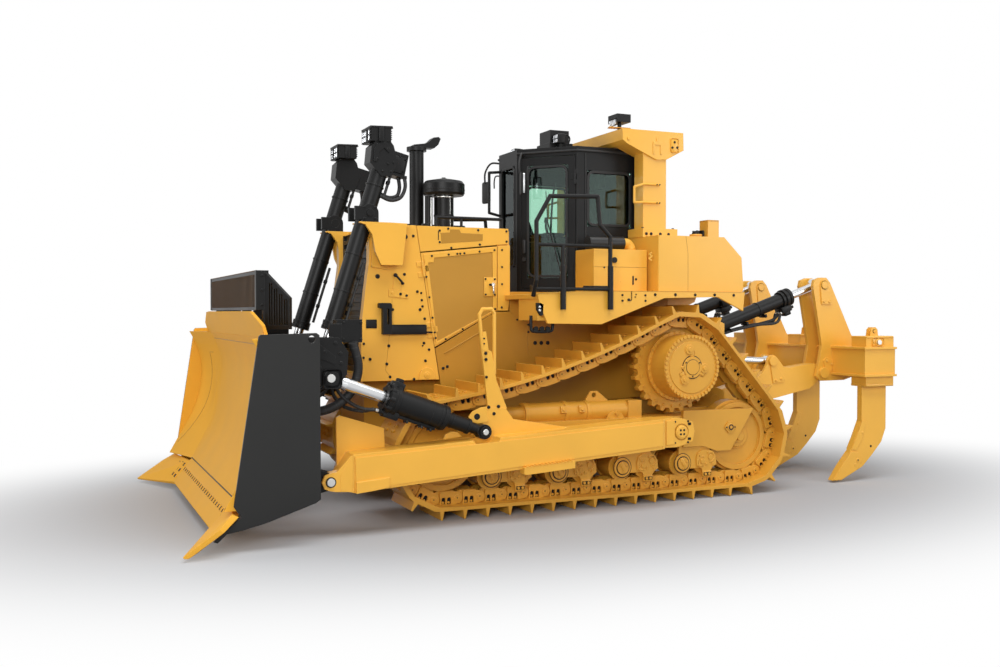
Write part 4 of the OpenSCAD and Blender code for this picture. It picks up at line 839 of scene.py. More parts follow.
roller_z, roller_y = 369, 1325
link_outside, link_inside = 1253, 997
# painted shade: a dark brown for rings, sockets and slots that lie in shade on the undercarriage
recess_shade = enamel("recess_painted_shade", (0.030, 0.015, 0.004), rough=0.6, coat=0)
arch = [(-21, 58), (21, 58), (21, 8), (13, -8), (-13, -8), (-21, 8)]
bulge = [58 * toward(math.radians(a)) for a in range(90, 271, 30)]
link = [(x - pitch / 2, z) for x, z in bulge]
link += [(-66, -66), (52, -66), (60, -30), (52, 14), (62, 66), (-72, 66)]
for word, side in (("left", 1), ("right", -1)):
    chain, shade = bmesh.new(), bmesh.new()
    for i in range(shoes):
        middle, angle = on_chain((i + 0.5) * pitch)
        out = toward(angle - math.pi / 2)
        for face_y, facing_out in ((link_outside, side), (link_inside, -side)):
            spot = facing(at(middle.x, side * face_y, middle.y), (0, facing_out, 0),
                (facing_out * math.cos(angle), 0, facing_out * math.sin(angle)))
            if face_y == link_outside:
                plate(chain, spot, flip(link, -facing_out), 24,
                    holes=[[(facing_out * (u + w), v) for u, v in arch] for w in (-36, 22)])
                for w in (-36, 22):
                    brick(shade, spot, (48, 72), 1, start=0.3, shift=(facing_out * w, 25))
                    disc(chain, spot, 13, 12, sides=6, shift=(facing_out * w, 42))
                disc(chain, spot, 30, 32, sides=12, shift=(-facing_out * pitch / 2, 0))
                disc(shade, spot, 7, 2, start=31, sides=6, shift=(-facing_out * pitch / 2, 0))
            else:
                disc(chain, spot, 30, 10, sides=10, shift=(-facing_out * pitch / 2, 0))
        for y in (-125, -75, 75, 125):
            for u in (-44, 14):
                spot = facing(at(middle.x + u * math.cos(angle) + 95 * out.x, side * (1125 + y),
                    middle.y + u * math.sin(angle) + 95 * out.y), (out.x, 0, out.y),
                    (math.cos(angle), 0, math.sin(angle)))
                disc(chain, spot, 17, 12, sides=6)
    settle("chain_links_" + word, chain, cast_yellow, "tractor")
    settle("chain_shadows_" + word, shade, black, "tractor")

# castings go in bm; thin dark rings, sockets and the guide's slot go in shade as painted shade
bm, shade = bmesh.new(), bmesh.new()
for side in (1, -1):
    for x in (1915, 1175, 435, -305):
        # cast bogie cover with its raised arcs and the guide held by two bolts
        cover = on_side(x, roller_z, roller_y, side)
        plate(bm, cover, flip([(-128, -30), (-118, 60), (-84, 112), (-20, 132), (60, 132), (112, 100),
            (130, 40), (122, -34), (64, -66), (52, -96), (-52, -96), (-70, -60)], side), 14)
        for u, v, turn in ((-44, 52, 60), (52, 12, 250)):
            disc(bm, cover, 27, 10, start=14, shift=(-side * u, v))
            turns = [math.radians(turn + t) for t in range(0, 221, 20)]
            arc = [(u + 52 * math.cos(a), v + 52 * math.sin(a)) for a in turns]
            tube(bm, [inside(cover, -side * x, z, 15) for x, z in arc], 7, sides=6)
        for u, v in ((-78, -22), (-20, 100), (84, 74), (92, -30), (4, -20)):
            disc(bm, cover, 15, 9, start=14, sides=6, shift=(-side * u, v))
        brick(bm, cover, (112, 66), 26, shift=(0, -126), round_off=8)
        brick(shade, cover, (92, 34), 2, start=26, shift=(0, -126), round_off=6)
        for u in (-23, 23):
            disc(bm, cover, 15, 12, start=26, sides=6, shift=(u, -126))
    for x in (2215, 1475, 735, -5):
        hub = on_side(x, roller_z, roller_y, side)
        disc(shade, hub, 108, 3, sides=32)
        disc(bm, hub, 102, 12, sides=32, top=96)
        disc(shade, hub, 78, 3, start=11, sides=28)
        disc(bm, hub, 66, 22, sides=24)
        brick(bm, hub @ Matrix.Rotation(0.5, 4, "Z"), (40, 128), 32, round_off=8)
        for k in range(3):
            disc(bm, hub, 11, 8, start=22, sides=6, shift=(46 * math.cos(2.1 * k + 0.4),
                46 * math.sin(2.1 * k + 0.4)))
    # diamond cover over the idler shaft, spring tube straps and bolted hanger
    cap = on_side(-600, 734, 1350, side)
    plate(bm, cap, [(-76, 0), (-24, 62), (24, 62), (76, 0), (24, -62), (-24, -62)], 14)
    disc(bm, cap, 40, 22)
    disc(shade, cap, 33, 2, start=21)
    disc(bm, cap, 18, 26, sides=6)
    for u in (-54, 54):
        disc(shade, cap, 9, 6, start=14, sides=6, shift=(u, 0))
    for x in (1191, 1400):
        brick(bm, facing(at(x, side * 1262, 985), (0, side * 0.94, 0.34), (side, 0, 0)), (66, 80), 34,
            round_off=12)
        disc(bm, facing(at(x, side * 1290, 995), (0, side * 0.94, 0.34), (side, 0, 0)), 20, 16)
    for x, z in ((867, 881), (706, 878), (783, 928)):
        disc(bm, on_side(x, z, 1350 if z < 880 else 1290, side), 17, 16, sides=6)
    panel(bm, 1270, side, [(900, 870), (880, 930), (800, 962), (720, 930), (680, 870)], 18)
    for x in (530, 590, 650, 1060, 1390, 1750):
        disc(bm, facing(at(x, side * 1170, 955), (1, 0, 0)), 119, 9, sides=36)
    # idler rims and the sprocket's bolted segments
    for x, z in (front_idler, rear_idler):
        disc(bm, on_side(x, z, 1249, side), 128, 22, sides=32, top=118)
        disc(bm, on_side(x, z, 1249, side), 74, 40, sides=24)
    for x, z in around(25, 432):
        disc(bm, on_side(x, sprocket.y + z, 1170, side), 15, 12, sides=6)
settle("undercarriage_castings", bm, cast_yellow, "tractor")
settle("undercarriage_recess_shade", shade, recess_shade, "tractor")

hub_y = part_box("final_drives")[1].y * 1000
# the dark rings round the bosses and the sockets between them are painted shade
bm, shade = bmesh.new(), bmesh.new()
for side in (1, -1):
    face = on_side(*sprocket, hub_y, side)
    for spot in around(44, 321):
        disc(bm, face, 19, 18, start=-2, sides=8, shift=spot)
    disc(bm, face, 280, 7, sides=64, top=274)
    disc(shade, face, 124, 9, sides=40)
    disc(bm, face, 117, 20, sides=40, top=112)
    for k in range(3):
        turn = Matrix.Rotation(math.tau * (k / 3 - 0.08), 4, "Z")
        brick(bm, face @ turn, (70, 56), 16, shift=(140, 0), round_off=14)
    disc(shade, face, 84, 1.5, start=19.5, sides=32)
    disc(bm, face, 78, 24, sides=32)
    for spot in around(3, 98, 0.24):
        disc(shade, face, 9, 6, start=20, sides=6, shift=spot)
    for u, v in ((35, 185), (-150, -15), (95, -130)):
        disc(bm, face, 54, 22, sides=24, shift=(-side * u, v), top=50)
        disc(bm, face, 24, 34, sides=6, shift=(-side * u, v))
    disc(bm, face, 17, 20, sides=6, shift=(-side * 120, 0))
    # flange at the root of the cover, its nuts facing out
    disc(bm, on_side(*sprocket, 1210, side), 372, 26, sides=72)
    for spot in around(32, 359, 0.5):
        disc(bm, on_side(*sprocket, 1236, side), 12, 12, sides=6, shift=spot)
settle("drive_cover", bm, cast_yellow, "tractor")
settle("drive_cover_painted_shade", shade, recess_shade, "tractor")


# ---- Push arms and tilt cylinders -----------------------------------------------------
# The push arms are welded boxes with a cover plate on each face. Each tilt cylinder has a
# cast gland bolted round its rod, a collar at the far end and an eye on a through pin.
arm_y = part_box("push_arms")[1].y * 1000 - 40
bearing_y = 1740
bm, shade, bright = bmesh.new(), bmesh.new(), bmesh.new()
for side in (1, -1):
    panel(bm, arm_y, side, [(3728, 700), (2000, 795), (545, 876), (545, 640), (3310, 444), (3718, 408)], 9)
    panel(bm, arm_y, side, [(3722, 386), (3722, 484), (3417, 509), (3417, 424), (3560, 402)], 26)
    # welded seam where the arm steps in to its bearing, and the front gusset's edge
    tube(bm, places(side, (540, arm_y - 2, 905), (540, arm_y - 2, 610)), 9, sides=6)
    tube(bm, places(side, (3740, arm_y - 2, 722), (3740, arm_y - 2, 392)), 9, sides=6)
    # bearing cap of the trunnion; its four holes and the notches beside it are dark marks of painted shade
    cap = on_side(285, 762, bearing_y, side)
    disc(bm, cap, 74, 12, sides=40, top=70)
    disc(bm, cap, 60, 18, sides=36, top=57)
    for u, v in ((-20, -20), (20, -20), (-20, 20), (20, 20)):
        disc(shade, cap, 12, 2, start=17.5, sides=12, shift=(u, v))
    for u, v in ((-78, 108), (78, 108), (-78, -108), (78, -108)):
        disc(shade, cap, 11, 5, sides=12, shift=(u, v))
    for x, z in ((505, 842), (505, 625), (190, 842), (190, 690)):
        brick(shade, on_side(x, z, bearing_y, side), (36, 26), 3, round_off=6)
    panel(bm, bearing_y, side, [(470, 880), (370, 888), (370, 640), (470, 636)], 8)
    # serrated step pad
    for k in range(14):
        x = 1600 + 36 * k
        brick(bm, facing(at(x, side * (arm_y + 12), 556 - 36 * (x - 1560) / 540), (0, 0, 1), (1, 0, 0)),
            (16, 84), 11)
    # outer cheek of the front eye, welded to the arm, and its pin in a dark ring of painted shade
    panel(bm, 1766, side, [(3715, 398), (3900, 410), (3945, 418), (4000, 440), (4024, 497), (4000, 554),
        (3945, 576), (3890, 584), (3770, 712), (3715, 728)], 32)
    disc(shade, on_side(3945, 497, 1798, side), 47, 3, sides=32)
    disc(bright, on_side(3945, 497, 1798, side), 39, 16, sides=28, top=35)
    # clamp ear, its bored hole as a dark disc of painted shade, and the twin ear behind it
    panel(bm, 1627, side, [(2400, 1090), (2460, 1085), (2545, 1050), (2585, 1000), (2560, 950),
        (2480, 935), (2380, 950)], 14)
    disc(shade, on_side(2500, 1000, 1641, side), 30, 2, sides=24)
    panel(bm, 1627, side, [(2840, 800), (2815, 850), (2760, 872), (2700, 866), (2650, 820)], 14)
    bolts(shade, ((2376, 1084), (2275, 1087), (2321, 1020)), 1630, side, 17)
    bolts(shade, ((2421, 1735, 9), (2421, 1686, 9), (2404, 1594, 16), (2402, 1536, 16), (2397, 1369, 14)),
        1625, side)
    # wear plate at the top of the grab post
    panel(bm, 1620, side, [(2440, 1620), (2437, 1800), (2400, 1800), (2372, 1610)], 6)
settle("arm_plates", bm, yellow, "push_arms")
settle("arm_bolts_and_painted_shade", shade, black, "push_arms")
settle("arm_pins", bright, steel, "push_arms")

tilt_a, tilt_b, tilt_y = Vector((2465, 865)), Vector((3945, 1408)), 1690


def along_line(a, b, reach, y):
    """The frame at a reach along a cylinder, its Z axis toward the rod and its Y axis up."""
    direction = (b - a).normalized()
    spot = a + reach * direction
    return facing(at(spot.x, y, spot.y), (direction.x, 0, direction.y),
        (0, math.copysign(1, direction.x), 0))


def on_tilt(reach, side):
    return along_line(tilt_a, tilt_b, reach, side * tilt_y)


def band(bm, spot, radius, height, bore, sides=36):
    """A collar round a bore."""
    plate(bm, spot, around(sides, radius), height, holes=[around(sides, bore)])


bm, bright, hoses = bmesh.new(), bmesh.new(), bmesh.new()
for side in (1, -1):
    for reach, radius, height, bore in ((392, 80, 16, 66), (418, 122, 26, 112), (470, 118, 8, 112),
            (560, 117, 5, 112), (905, 142, 30, 112), (940, 128, 22, 112), (966, 146, 34, 112),
            (1003, 120, 22, 66), (150, 74, 22, 48), (330, 72, 10, 66)):
        band(bm, on_tilt(reach, side), radius, height, bore)
    for lobe in around(10, 132):
        disc(bm, on_tilt(962, side), 24, 44, sides=10, shift=lobe)
        disc(bm, on_tilt(962, side), 15, 16, start=44, sides=6, shift=lobe)
    # cast ear on top of the gland and the port block under it
    brick(bm, on_tilt(880, side), (120, 70), 118, shift=(0, 138), round_off=16)
    brick(bm, on_tilt(900, side), (70, 44), 66, shift=(0, 184), round_off=12)
    brick(bm, on_tilt(850, side), (130, 74), 150, shift=(0, -132), round_off=14)
    brick(bm, on_tilt(470, side), (60, 34), 400, shift=(0, -122), round_off=8)
    for u in (-36, 36):
        disc(bm, on_tilt(1000, side), 22, 46, sides=12, shift=(u, -132))
        disc(bright, on_tilt(1040, side), 15, 34, sides=8, shift=(u, -132))
        for reach in (520, 610, 760):
            port = inside(on_tilt(reach, side), u, -132)
            disc(bm, facing(port, (0, side * 0.3, -1)), 13, 26, sides=8)
        # supply hoses leave the ports and drop in behind the blade
        start = inside(on_tilt(1070, side), u, -132)
        inboard = side * (tilt_y - 150 + u)
        tube(hoses, curve_through([start, at(3640, side * (tilt_y - 40 + u * 0.6), 1112 + u * 0.4),
            at(3770, inboard, 1180 + u), at(3850, inboard - side * 40, 1320 + u),
            at(3830, inboard - side * 70, 1500 + u)]), 17)
    # pin collar at the rear eye
    for out in (1, -1):
        disc(bm, on_side(*tilt_a, out * tilt_y + 68, out * side), 52, 10, sides=28)
    disc(bright, on_side(*tilt_a, tilt_y + 78, side), 30, 12, sides=24, top=27)
settle("tilt_glands", bm, black, "tilt_barrels")
settle("tilt_fittings", bright, steel, "tilt_barrels")
settle("tilt_hoses", hoses, rubber, "tilt_barrels")
bm = bmesh.new()
for side in (1, -1):
    disc(bm, on_tilt(1400, side), 66, 60, sides=32, top=52)
    disc(bm, on_tilt(1400, side), 58, 90, start=-90, sides=32)
    disc(bm, on_side(*tilt_b, tilt_y + 62, side), 76, 8, sides=36, top=72)
settle("tilt_rod_ends", bm, chrome, "tilt_rods")


# ---- Lift cylinders ---------------------------------------------------------------------
# Each lift cylinder is slung in a yoke at the guard. Its head carries a bolted bracket
# with the work lamp, and a valve whose hoses run down to the barrel.
lift_a, lift_b, lift_y = Vector((3285, 2960)), Vector((3985, 748)), 660


def on_lift(reach, side):
    return along_line(lift_a, lift_b, reach, side * lift_y)


bm, glow, hoses = bmesh.new(), bmesh.new(), bmesh.new()
for side in (1, -1):
    for reach, radius, height in ((-600, 98, 40), (-520, 92, 12), (-300, 93, 12), (420, 91, 14),
            (800, 91, 14), (1128, 98, 24), (1180, 99, 30)):
        band(bm, on_lift(reach, side), radius, height, 83)
    # steel pipe down the outside with its clips
    for run in ([-540, -440, -200], [480, 700, 900, 1110]):
        tube(hoses, curve_through([inside(on_lift(reach, side), 60, -106) for reach in run], 3), 15)
    for reach in (-380, 620, 900):
        brick(bm, on_lift(reach, side), (52, 34), 40, shift=(58, -104), round_off=6)
    # head bracket bolts, a stiffening rib and the lamp's stirrup
    bolts(bm, ((3200, 3640, 15), (3090, 3600, 13), (3200, 3500, 15), (3090, 3454, 13), (3034, 3470, 11),
        (3060, 3380, 13), (3146, 3380, 13)), 765, side)
    bolts(bm, ((2959, 3530), (2910, 3498), (2940, 3380)), 750, side, 12)
    panel(bm, 765, side, [(3240, 3470), (3232, 3600), (3160, 3670), (3110, 3670), (3070, 3610),
        (3080, 3560), (3130, 3610), (3190, 3560), (3205, 3470)], 10)
    for y in (lift_y - 205, lift_y + 120):
        brick(bm, on_side(3160, 3740, y, side), (60, 150), 8, round_off=8)
    # two by two panes in the face of the lamp
    face = facing(at(3262, side * (lift_y - 42), 3739), (1, 0, 0), (0, side, 0))
    for u in (-96, -30, 92):
        for v in (-28, 28):
            brick(glow, face, (58 if u < 0 else 34, 46), 5, shift=(u, v), round_off=8)
    for u in (-134, 14, 60, 134):
        brick(bm, face, (14, 128), 11, shift=(u, 0))
    for v in (-60, 0, 60):
        brick(bm, face, (310, 8), 11, shift=(0, v))
    for v in (-40, -20, 0, 20, 40):
        brick(bm, facing(at(3058, side * (lift_y - 42), 3739), (-1, 0, 0), (0, side, 0)), (290, 7), 12,
            shift=(0, v))
    # valve box: lid, screws, plug and the two hoses that loop down to the pipe
    brick(bm, facing(at(3000, side * 750, 3460), (0, side, 0), (1, 0, 0.24)), (180, 170), 12, round_off=10)
    for k in range(2):
        hose(hoses, side, 19, (2905 + 44 * k, 720 - 60 * k, 3336), (2900 + 40 * k, 726 - 60 * k, 3230),
            (2950 + 22 * k, 728 - 50 * k, 3130 + 20 * k), (3050 + 10 * k, 720 - 40 * k, 3100 + 30 * k),
            (3160, 716 - 30 * k, 3140 + 30 * k))
        disc(bm, facing(at(2905 + 44 * k, side * (720 - 60 * k), 3346), (0, 0, -1)), 26, 30, sides=6)
    # socket-headed pins of the swivel
    disc(bm, on_side(*lift_a, 792, side), 34, 14, sides=20)
settle("lift_heads", bm, black, "lift_barrels")
settle("lift_hoses", hoses, rubber, "lift_barrels")
settle("lift_lamp_panes", glow, lens, "lift_barrels")
# swivel caps of the yokes
yoke_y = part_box("lift_yokes")[1].y * 1000
bm = bmesh.new()
for side in (1, -1):
    for x, z in around(4, 78, 0.5):
        bolt(bm, on_side(lift_a.x + x, lift_a.y + z, yoke_y, side), 14)
settle("yoke_bolts", bm, black, "tractor")


# ---- Blade ------------------------------------------------------------------------------
# The blade is rolled wear plate on a box back. Cutting edge and end bits are held by
# plow bolts with flat heads, the black side plates and forks by hexagon ones.
def on_edge(y, down):
    """The frame on the middle cutting edge, X along the blade and Y up its slope."""
    top, low = Vector((4713.7, 345)), Vector((4911, 88))
    spot = top.lerp(low, down)
    return facing(at(spot.x, y, spot.y), (0.793, 0, 0.609), (0, 1, 0))


bm, shade = bmesh.new(), bmesh.new()
# each plow bolt head gets a dark socket of painted shade; a dark bar runs along the joint above the cutting
# edge
for k in range(24):
    y = -1330 + 2660 * k / 23
    disc(bm, on_edge(y, 0.42), 27, 3, sides=18, top=25)
    brick(shade, on_edge(y, 0.42), (17, 38), 2, start=2, round_off=5)
tube(shade, [at(4712, y, 349) for y in (-1404, 1404)], 6, sides=6)

# groups of plow bolts in the end bits: their face runs from the bend to the outer corner
for side in (1, -1):
    inner_top, inner_low = at(4733.7, side * 1405, 315), at(4911, side * 1405, 88)
    outer_top, outer_low = at(4830, side * 2030, 325), at(5165, side * 2030, 62)
    normal = (outer_top - inner_top).cross(inner_low - inner_top) * -side
    if normal.x < 0:
        normal = -normal
    for u, v in ((0.08, 0.22), (0.08, 0.48), (0.08, 0.74), (0.20, 0.20), (0.20, 0.44), (0.20, 0.68),
            (0.34, 0.22), (0.34, 0.48)):
        spot = facing(inner_top.lerp(outer_top, u).lerp(inner_low.lerp(outer_low, u), v), normal, (0, 1, 0))
        disc(bm, spot, 28, 8, start=-2, sides=18, top=26)
        # a dark socket of painted shade in each head
        brick(shade, spot, (28, 40), 2, start=6, round_off=6)
settle("plow_bolts", bm, yellow, "blade")
settle("plow_bolt_socket_shade_and_seam", shade, black, "blade")

# the face: two arcs over a straight foot, and wings turned forward at its ends
curve_x, curve_z, lower_r, upper_r = 4365, 1300, 1200, 900
foot_x, bend_y = 4713.7, 1405
foot_slope, wing = math.radians(28), math.radians(17)


def board_x(z):
    """How far ahead the flat face stands at a height."""
    if z < curve_z - lower_r * math.sin(foot_slope):
        return 4505.5 + (736.6 - z) * math.tan(foot_slope)
    radius = upper_r if z > curve_z else lower_r
    return curve_x + radius - math.sqrt(radius ** 2 - (z - curve_z) ** 2)


def on_wing(x, across, z, side):
    """A place on the wing: x from the flat blade's frame, across from the bend."""
    u = x - foot_x
    return at(foot_x + u * math.cos(wing) + across * math.sin(wing),
        side * (bend_y - u * math.sin(wing) + across * math.cos(wing)), z)


# welds: the edge of each wing's liner swings outward to the end bit, a seam runs under the guard
bm = bmesh.new()
for side in (1, -1):
    weld = [on_wing(board_x(1524) - 1, across, 1524, side) for across in (110, 200)]
    for i in range(12):
        z = 1436 - 88 * i
        weld.append(on_wing(board_x(z) - 1, 200 + 330 * (i / 11) ** 3, z, side))
    tube(bm, weld, 4, sides=6)
tube(bm, [at(4455, y, 1692) for y in (-1390, 1390)], 5, sides=6)
settle("blade_seams", bm, ochre, "blade")
liner = enamel("liner_enamel", (0.84, 0.425, 0.045), rough=0.56, coat=0, ripple=0.03, specular=0.14)
dress(liner, "blade_moldboard", "blade_edges")

# rolled liner plate welded over the flat face and the foot of the wings, thickest half way up
bm = bmesh.new()
liner_top, liner_drop, rows, columns, reach = 1560, 920, 24, 8, 180
front, back = [], []
for k in range(rows + 1):
    z = liner_top - k * liner_drop / rows
    rise = 36 * math.sin(math.pi * k / rows) ** 2 - 2
    x = board_x(z)
    mitre = (foot_x - x) * math.tan(wing / 2)
    for skin, layer in ((rise, front), (-12, back)):
        line = [at(x + skin, y * (bend_y + mitre) / columns, z) for y in range(-columns, columns + 1)]
        for step in range(1, columns + 1):
            across = (reach + mitre) * step / columns - mitre
            fade = (1 + math.cos(math.pi * step / columns)) / 2
            out = -2 + (skin + 2) * fade if layer is front else skin
            line = [on_wing(x + out, across, z, -1), *line, on_wing(x + out, across, z, 1)]
        layer.append([bm.verts.new(p) for p in line])
last = 4 * columns
for k in range(rows):
    for i in range(last):
        bm.faces.new((front[k][i], front[k][i + 1], front[k + 1][i + 1], front[k + 1][i]))
        bm.faces.new((back[k][i], back[k + 1][i], back[k + 1][i + 1], back[k][i + 1]))
    for i in (0, last):
        bm.faces.new((front[k][i], front[k + 1][i], back[k + 1][i], back[k][i]))
for i in range(last):
    for k in (0, rows):
        bm.faces.new((front[k][i], front[k][i + 1], back[k][i + 1], back[k][i]))
settle("blade_liner", bm, liner, "blade")

# bolts, keepers and plate edges on the black forks and side plates
fork_y = 1795
bm, bright = bmesh.new(), bmesh.new()
for side in (1, -1):
    keeper = on_side(3933, 1403, fork_y, side)
    brick(bm, keeper, (170, 168), 16, round_off=34)
    disc(bm, keeper, 66, 24, sides=36, top=62)
    disc(bright, on_side(*tilt_b, fork_y, side), 40, 34, sides=28, top=36)
    bolts(bm, ((3994, 1640), (3856, 1623), (3850, 1538), (3900, 1715), (4080, 1600), (4040, 1500)),
        fork_y, side, 20)
    panel(bm, fork_y, side, [(4140, 1700), (4060, 1720), (3900, 1600), (3900, 1520), (3980, 1560),
        (4120, 1600)], 9)
    bolts(bm, ((4080, 560), (4080, 440), (4180, 500)), 1760, side, 17)
    bolts(bm, ((3610, 1740), (3610, 1890), (3770, 1890), (3770, 1740)), 1590, side, 13)
    # eye pins of the lift cylinders
    for y, out in ((755, side), (565, -side)):
        disc(bm, facing(at(lift_b.x, side * y, lift_b.y), (0, out, 0)), 54, 14, sides=28)
    # hexagon bolts of the side plate, seen from inside
    for x, z in ((4160, 1640), (4150, 1300), (4150, 950), (4150, 600), (4300, 420)):
        bolt(bm, facing(at(x, side * 1985, z), (0, -side, 0)), 18)
settle("blade_fork_bolts", bm, black, "blade")
settle("blade_pin_ends", bright, steel, "blade")

# thick hose loop and its thin pair, clipped on the blade's back behind the side plate
bm = bmesh.new()
for side in (1, -1):
    hose(bm, side, 42, (3700, 1640, 1712), (3640, 1600, 1480), (3700, 1560, 1260), (3860, 1540, 1130),
        (4080, 1540, 1090), (4240, 1540, 1130), sides=14)
    for k in (0, 1):
        hose(bm, side, 16, (4160, 1500 - 40 * k, 1400 - 70 * k), (4020, 1490 - 40 * k, 1290 - 70 * k),
            (3900, 1480 - 40 * k, 1330 - 60 * k), (3830, 1500 - 40 * k, 1480 - 40 * k),
            (3800, 1520 - 40 * k, 1712))
settle("blade_hoses", bm, rubber, "blade")

# rack: edge bars, weld plates and bolts through its feet
bm = bmesh.new()
for y in (-900, -300, 300, 900):
    for z in (1840, 1960):
        bolt(bm, facing(at(4354, y, z), (-1, 0, 0), (0, 1, 0)), 16)
for side in (1, -1):
    bolts(bm, ((4452, 2050), (4452, 2180), (4452, 2310)), 1362, side, 14)
# extra slats in the side panels, set back at the angle of the panels
bend = math.radians(47)
for side in (1, -1):
    for i in range(4):
        u, tall = 58 + 51 * i, 370 - 48 * i
        spot = facing(at(4398 - u * math.sin(bend), side * (1334 + u * math.cos(bend)), 1870 + tall / 2),
            (math.cos(bend), side * math.sin(bend), 0), (0, 0, 1))
        brick(bm, spot, (tall, 9), 40)
settle("rack_slats_and_bolts", bm, black, "blade")
# painted reflection: brown strips on the slat fronts and a bar along the top stand in for warm glints
# reflected from the yellow paint
bm = bmesh.new()
for i in range(43):
    brick(bm, facing(at(4499, (i - 21) * 60, 2175), (1, 0, 0), (0, 1, 0)), (11, 290), 3)
tube(bm, [at(4498, y, 2354) for y in (-1356, 1356)], 4, sides=6)
slat_painted_glint = enamel("slat_painted_glint_enamel", (0.14, 0.075, 0.030), rough=0.6, coat=0)
settle("rack_slat_painted_glints", bm, slat_painted_glint, "blade")

# side plates: black outside, yellow where they face the material
faced = enamel("side_plate_enamel", (0.008, 0.008, 0.0075), tone=0.85, rough=0.42, coat=0, edge=1.9)
tree, shader, place = shader_of(faced)
turned = knot(tree, "ShaderNodeSeparateXYZ", {0: place.node.outputs["Normal"]})
placed = knot(tree, "ShaderNodeSeparateXYZ", {0: place})
product = knot(tree, "ShaderNodeMath", {0: turned.outputs["Y"], 1: placed.outputs["Y"]},
    operation="MULTIPLY")
inward = knot(tree, "ShaderNodeMath", {0: product.outputs[0], 1: -1.0}, operation="LESS_THAN")
pick = knot(tree, "ShaderNodeMix", {"Factor": inward.outputs[0], "A": fed(shader, "Base Color"),
    "B": (0.80, 0.40, 0.028, 1)}, data_type="RGBA")
feed(tree, shader, {"Base Color": pick.outputs["Result"]})
dress(faced, "blade_side_plates")


# ---- Ripper ---------------------------------------------------------------------------------
# A parallelogram ripper: a box beam with three sockets, each shank held by a pull pin.
# Forged points and shin guards are pinned on, pins are kept by bolted plates.
bm, bright, shade = bmesh.new(), bmesh.new(), bmesh.new()
for side in (1, -1):
    for y, face in ((750, side), (-460, -side)):
        # both faces of a lug, the inner one as a wall that looks inboard
        wall = on_side(0, 0, y, face)
        # keeper of the upper pin with its two bolts low down
        panel(bm, y, face, [(-2345, 2310), (-2362, 2356), (-2405, 2372), (-2448, 2356), (-2465, 2310),
            (-2520, 2120), (-2515, 2080), (-2370, 2080), (-2362, 2120)], 14)
        for x, z, radius in ((-2397, 2112, 19), (-2479, 2112, 19), (-2453, 1394, 19), (-2523, 1355, 19)):
            bolt(bm, wall @ Matrix.Translation((0, 0, 0.014)), radius, shift=(-face * x, z))
        disc(bm, wall, 50, 26, sides=32, top=46, shift=(face * 2405, 2310))
        # keeper of the lower pin
        panel(bm, y, face, [(-2470, 1210), (-2500, 1260), (-2575, 1330), (-2560, 1400), (-2440, 1440),
            (-2400, 1400), (-2420, 1320)], 12)
        disc(bm, wall, 68, 34, sides=36, top=64, shift=(face * 2402, 1250))
    # weld lines of the beam and lids
    for z in (1258, 1545):
        tube(bm, places(side, (-2998, 300, z), (-2998, 1290, z)), 5, sides=6)
    for y in (300, 900, 1276):
        tube(bm, places(side, (-2548, y, 1574), (-2992, y, 1574)), 6, sides=6)
for y in (-1150, 0, 1150):
    side = -1 if y < 0 else 1
    # pull pin through the socket with its lever, and the shank's upper ears
    pin = on_side(-2760, 1628, side * y + 120, side)
    brick(bm, pin, (170, 96), 8, round_off=16)
    disc(bright, pin, 33, 34, start=4, sides=24, top=29)
    disc(bm, pin, 46, 16, sides=28)
    for u in (-62, 62):
        bolt(bm, pin, 15, shift=(u, 0))
    for out in (-1, 1):
        plate(bm, facing(at(-2785, y + out * 30, 1697), (0, 1, 0)),
            [(-62, 0), (-50, -82), (-20, -108), (20, -108), (50, -82), (62, 0)], 14, start=-7)
        # a dark ring of painted shade where the cross pin leaves each ear
        disc(shade, facing(at(-2785, y + out * 38, 1757), (0, out, 0)), 24, 1.5, sides=20)
    tube(bm, [at(-2785, y - 46, 1757), at(-2785, y + 46, 1757)], 18, sides=12)
    # lips of the socket, top and bottom
    for z in (1676, 1112):
        brick(bm, facing(at(-2793, y, z), (0, 0, 1)), (420, 262), 26, round_off=12)
    # forged point over the nose of the shank, its pin and the shin guard
    for out in (1, -1):
        cheek = on_side(0, 0, out * y + 37.5, out)
        panel(bm, out * y + 37.5, out, [(-2440, 345), (-2290, 178), (-2180, 26), (-2292, 26),
            (-2520, 122), (-2600, 240), (-2545, 330)], 10)
        panel(bm, out * y + 37.5, out, [(-2608, 712), (-2520, 512), (-2448, 372), (-2520, 360),
            (-2600, 480), (-2672, 690)], 9)
        disc(bm, cheek, 21, 16, shift=(out * 2538, 241))
        # dark dots of painted shade: the bore of the pin and a hole in the shank
        disc(shade, cheek, 9, 2, start=15.5, sides=12, shift=(out * 2538, 241))
        disc(bm, cheek, 15, 13, shift=(out * 2502, 190))
        disc(bm, cheek, 15, 13, sides=12, shift=(out * 2612, 560))
        disc(shade, cheek, 14, 1.5, sides=20, shift=(out * 2745, 394))
settle("ripper_keepers", bm, yellow, "ripper_carriage")
settle("ripper_pull_pins", bright, steel, "ripper_carriage")
settle("ripper_pin_hole_shade", shade, black, "ripper_carriage")

bm = bmesh.new()
for side in (1, -1):
    for y, face in ((690, side), (-520, -side)):
        wall = on_side(0, 0, y, face)
        disc(bm, wall, 58, 22, start=5, sides=32, top=54, shift=(face * 1690, 1400))
        panel(bm, y, face, [(-1655, 1370), (-1725, 1370), (-1870, 1200), (-1850, 1150), (-1700, 1140),
            (-1690, 1180)], 12)
        for x, z in ((-1740, 1170), (-1815, 1189)):
            bolt(bm, wall @ Matrix.Translation((0, 0, 0.012)), 19, shift=(-face * x, z))
        panel(bm, y, face, [(-1120, 900), (-1560, 965), (-1560, 1010), (-1120, 950)], 8)
    for z in (1006, 1206):
        tube(bm, places(side, (-1724, 40, z), (-1724, 515, z)), 7, sides=6)
settle("ripper_link_keepers", bm, yellow, "ripper_link")

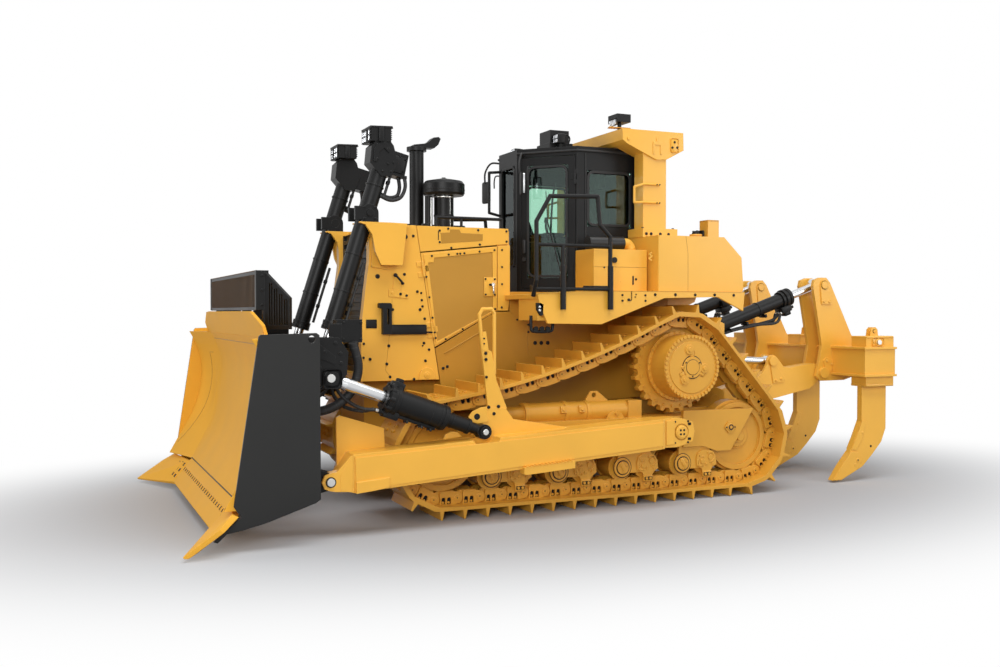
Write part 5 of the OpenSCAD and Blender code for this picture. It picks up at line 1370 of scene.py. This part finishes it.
high_a, high_b, ripper_y = Vector((-850, 1785)), Vector((-2405, 2310)), 605


def on_high(reach, side):
    return along_line(high_a, high_b, reach, side * ripper_y)


bm, hoses, bright = bmesh.new(), bmesh.new(), bmesh.new()
for side in (1, -1):
    for reach, radius, height in ((140, 90, 24), (700, 87, 14), (1060, 100, 30), (1104, 112, 34),
            (1150, 98, 16), (1166, 108, 34)):
        band(bm, on_high(reach, side), radius, height, 79)
    for spot in around(10, 84, 0.5):
        disc(bm, on_high(1196, side), 11, 13, sides=6, shift=spot)
    # valve on the gland with its elbows, and the pair of pipes along the barrel
    brick(bm, on_high(1010, side), (150, 80), 150, shift=(0, -118), round_off=14)
    brick(bm, on_high(1060, side), (90, 56), 90, shift=(0, -176), round_off=12)
    brick(bm, on_high(1010, side), (70, 90), 110, shift=(side * 100, -20), round_off=12)
    for u in (-46, 0, 46):
        disc(bm, on_high(1160, side), 19, 30, sides=8, shift=(u, -122))
        disc(bright, on_high(990, side), 14, 22, sides=8, shift=(u, -142))
        run = ((992, u, 150), (900, u, 190 + abs(u) * 0.8), (640, u, 165), (330, u / 1.4, 120),
            (160, u / 1.4, 106))
        tube(hoses, curve_through([inside(on_high(a, side), x, -y) for a, x, y in run]), 17)
    for reach in (240, 480, 760):
        brick(bm, on_high(reach, side), (128, 40), 30, shift=(0, -100), round_off=8)
settle("ripper_tilt_glands", bm, black, "ripper_tilt_barrels")
settle("ripper_tilt_fittings", bright, steel, "ripper_tilt_barrels")
settle("ripper_tilt_hoses", hoses, rubber, "ripper_tilt_barrels")

low_a, low_b = Vector((-405, 1480)), Vector((-1690, 1400))
bm = bmesh.new()
for side in (1, -1):
    for reach, radius, height in ((610, 88, 14), (646, 96, 22), (690, 90, 16)):
        band(bm, along_line(low_a, low_b, reach, side * ripper_y), radius, height, 70)
    valve = along_line(low_a, low_b, 560, side * ripper_y)
    brick(bm, valve, (80, 50), 110, shift=(0, 92), round_off=10)
settle("ripper_lift_glands", bm, black, "ripper_lift_barrels")
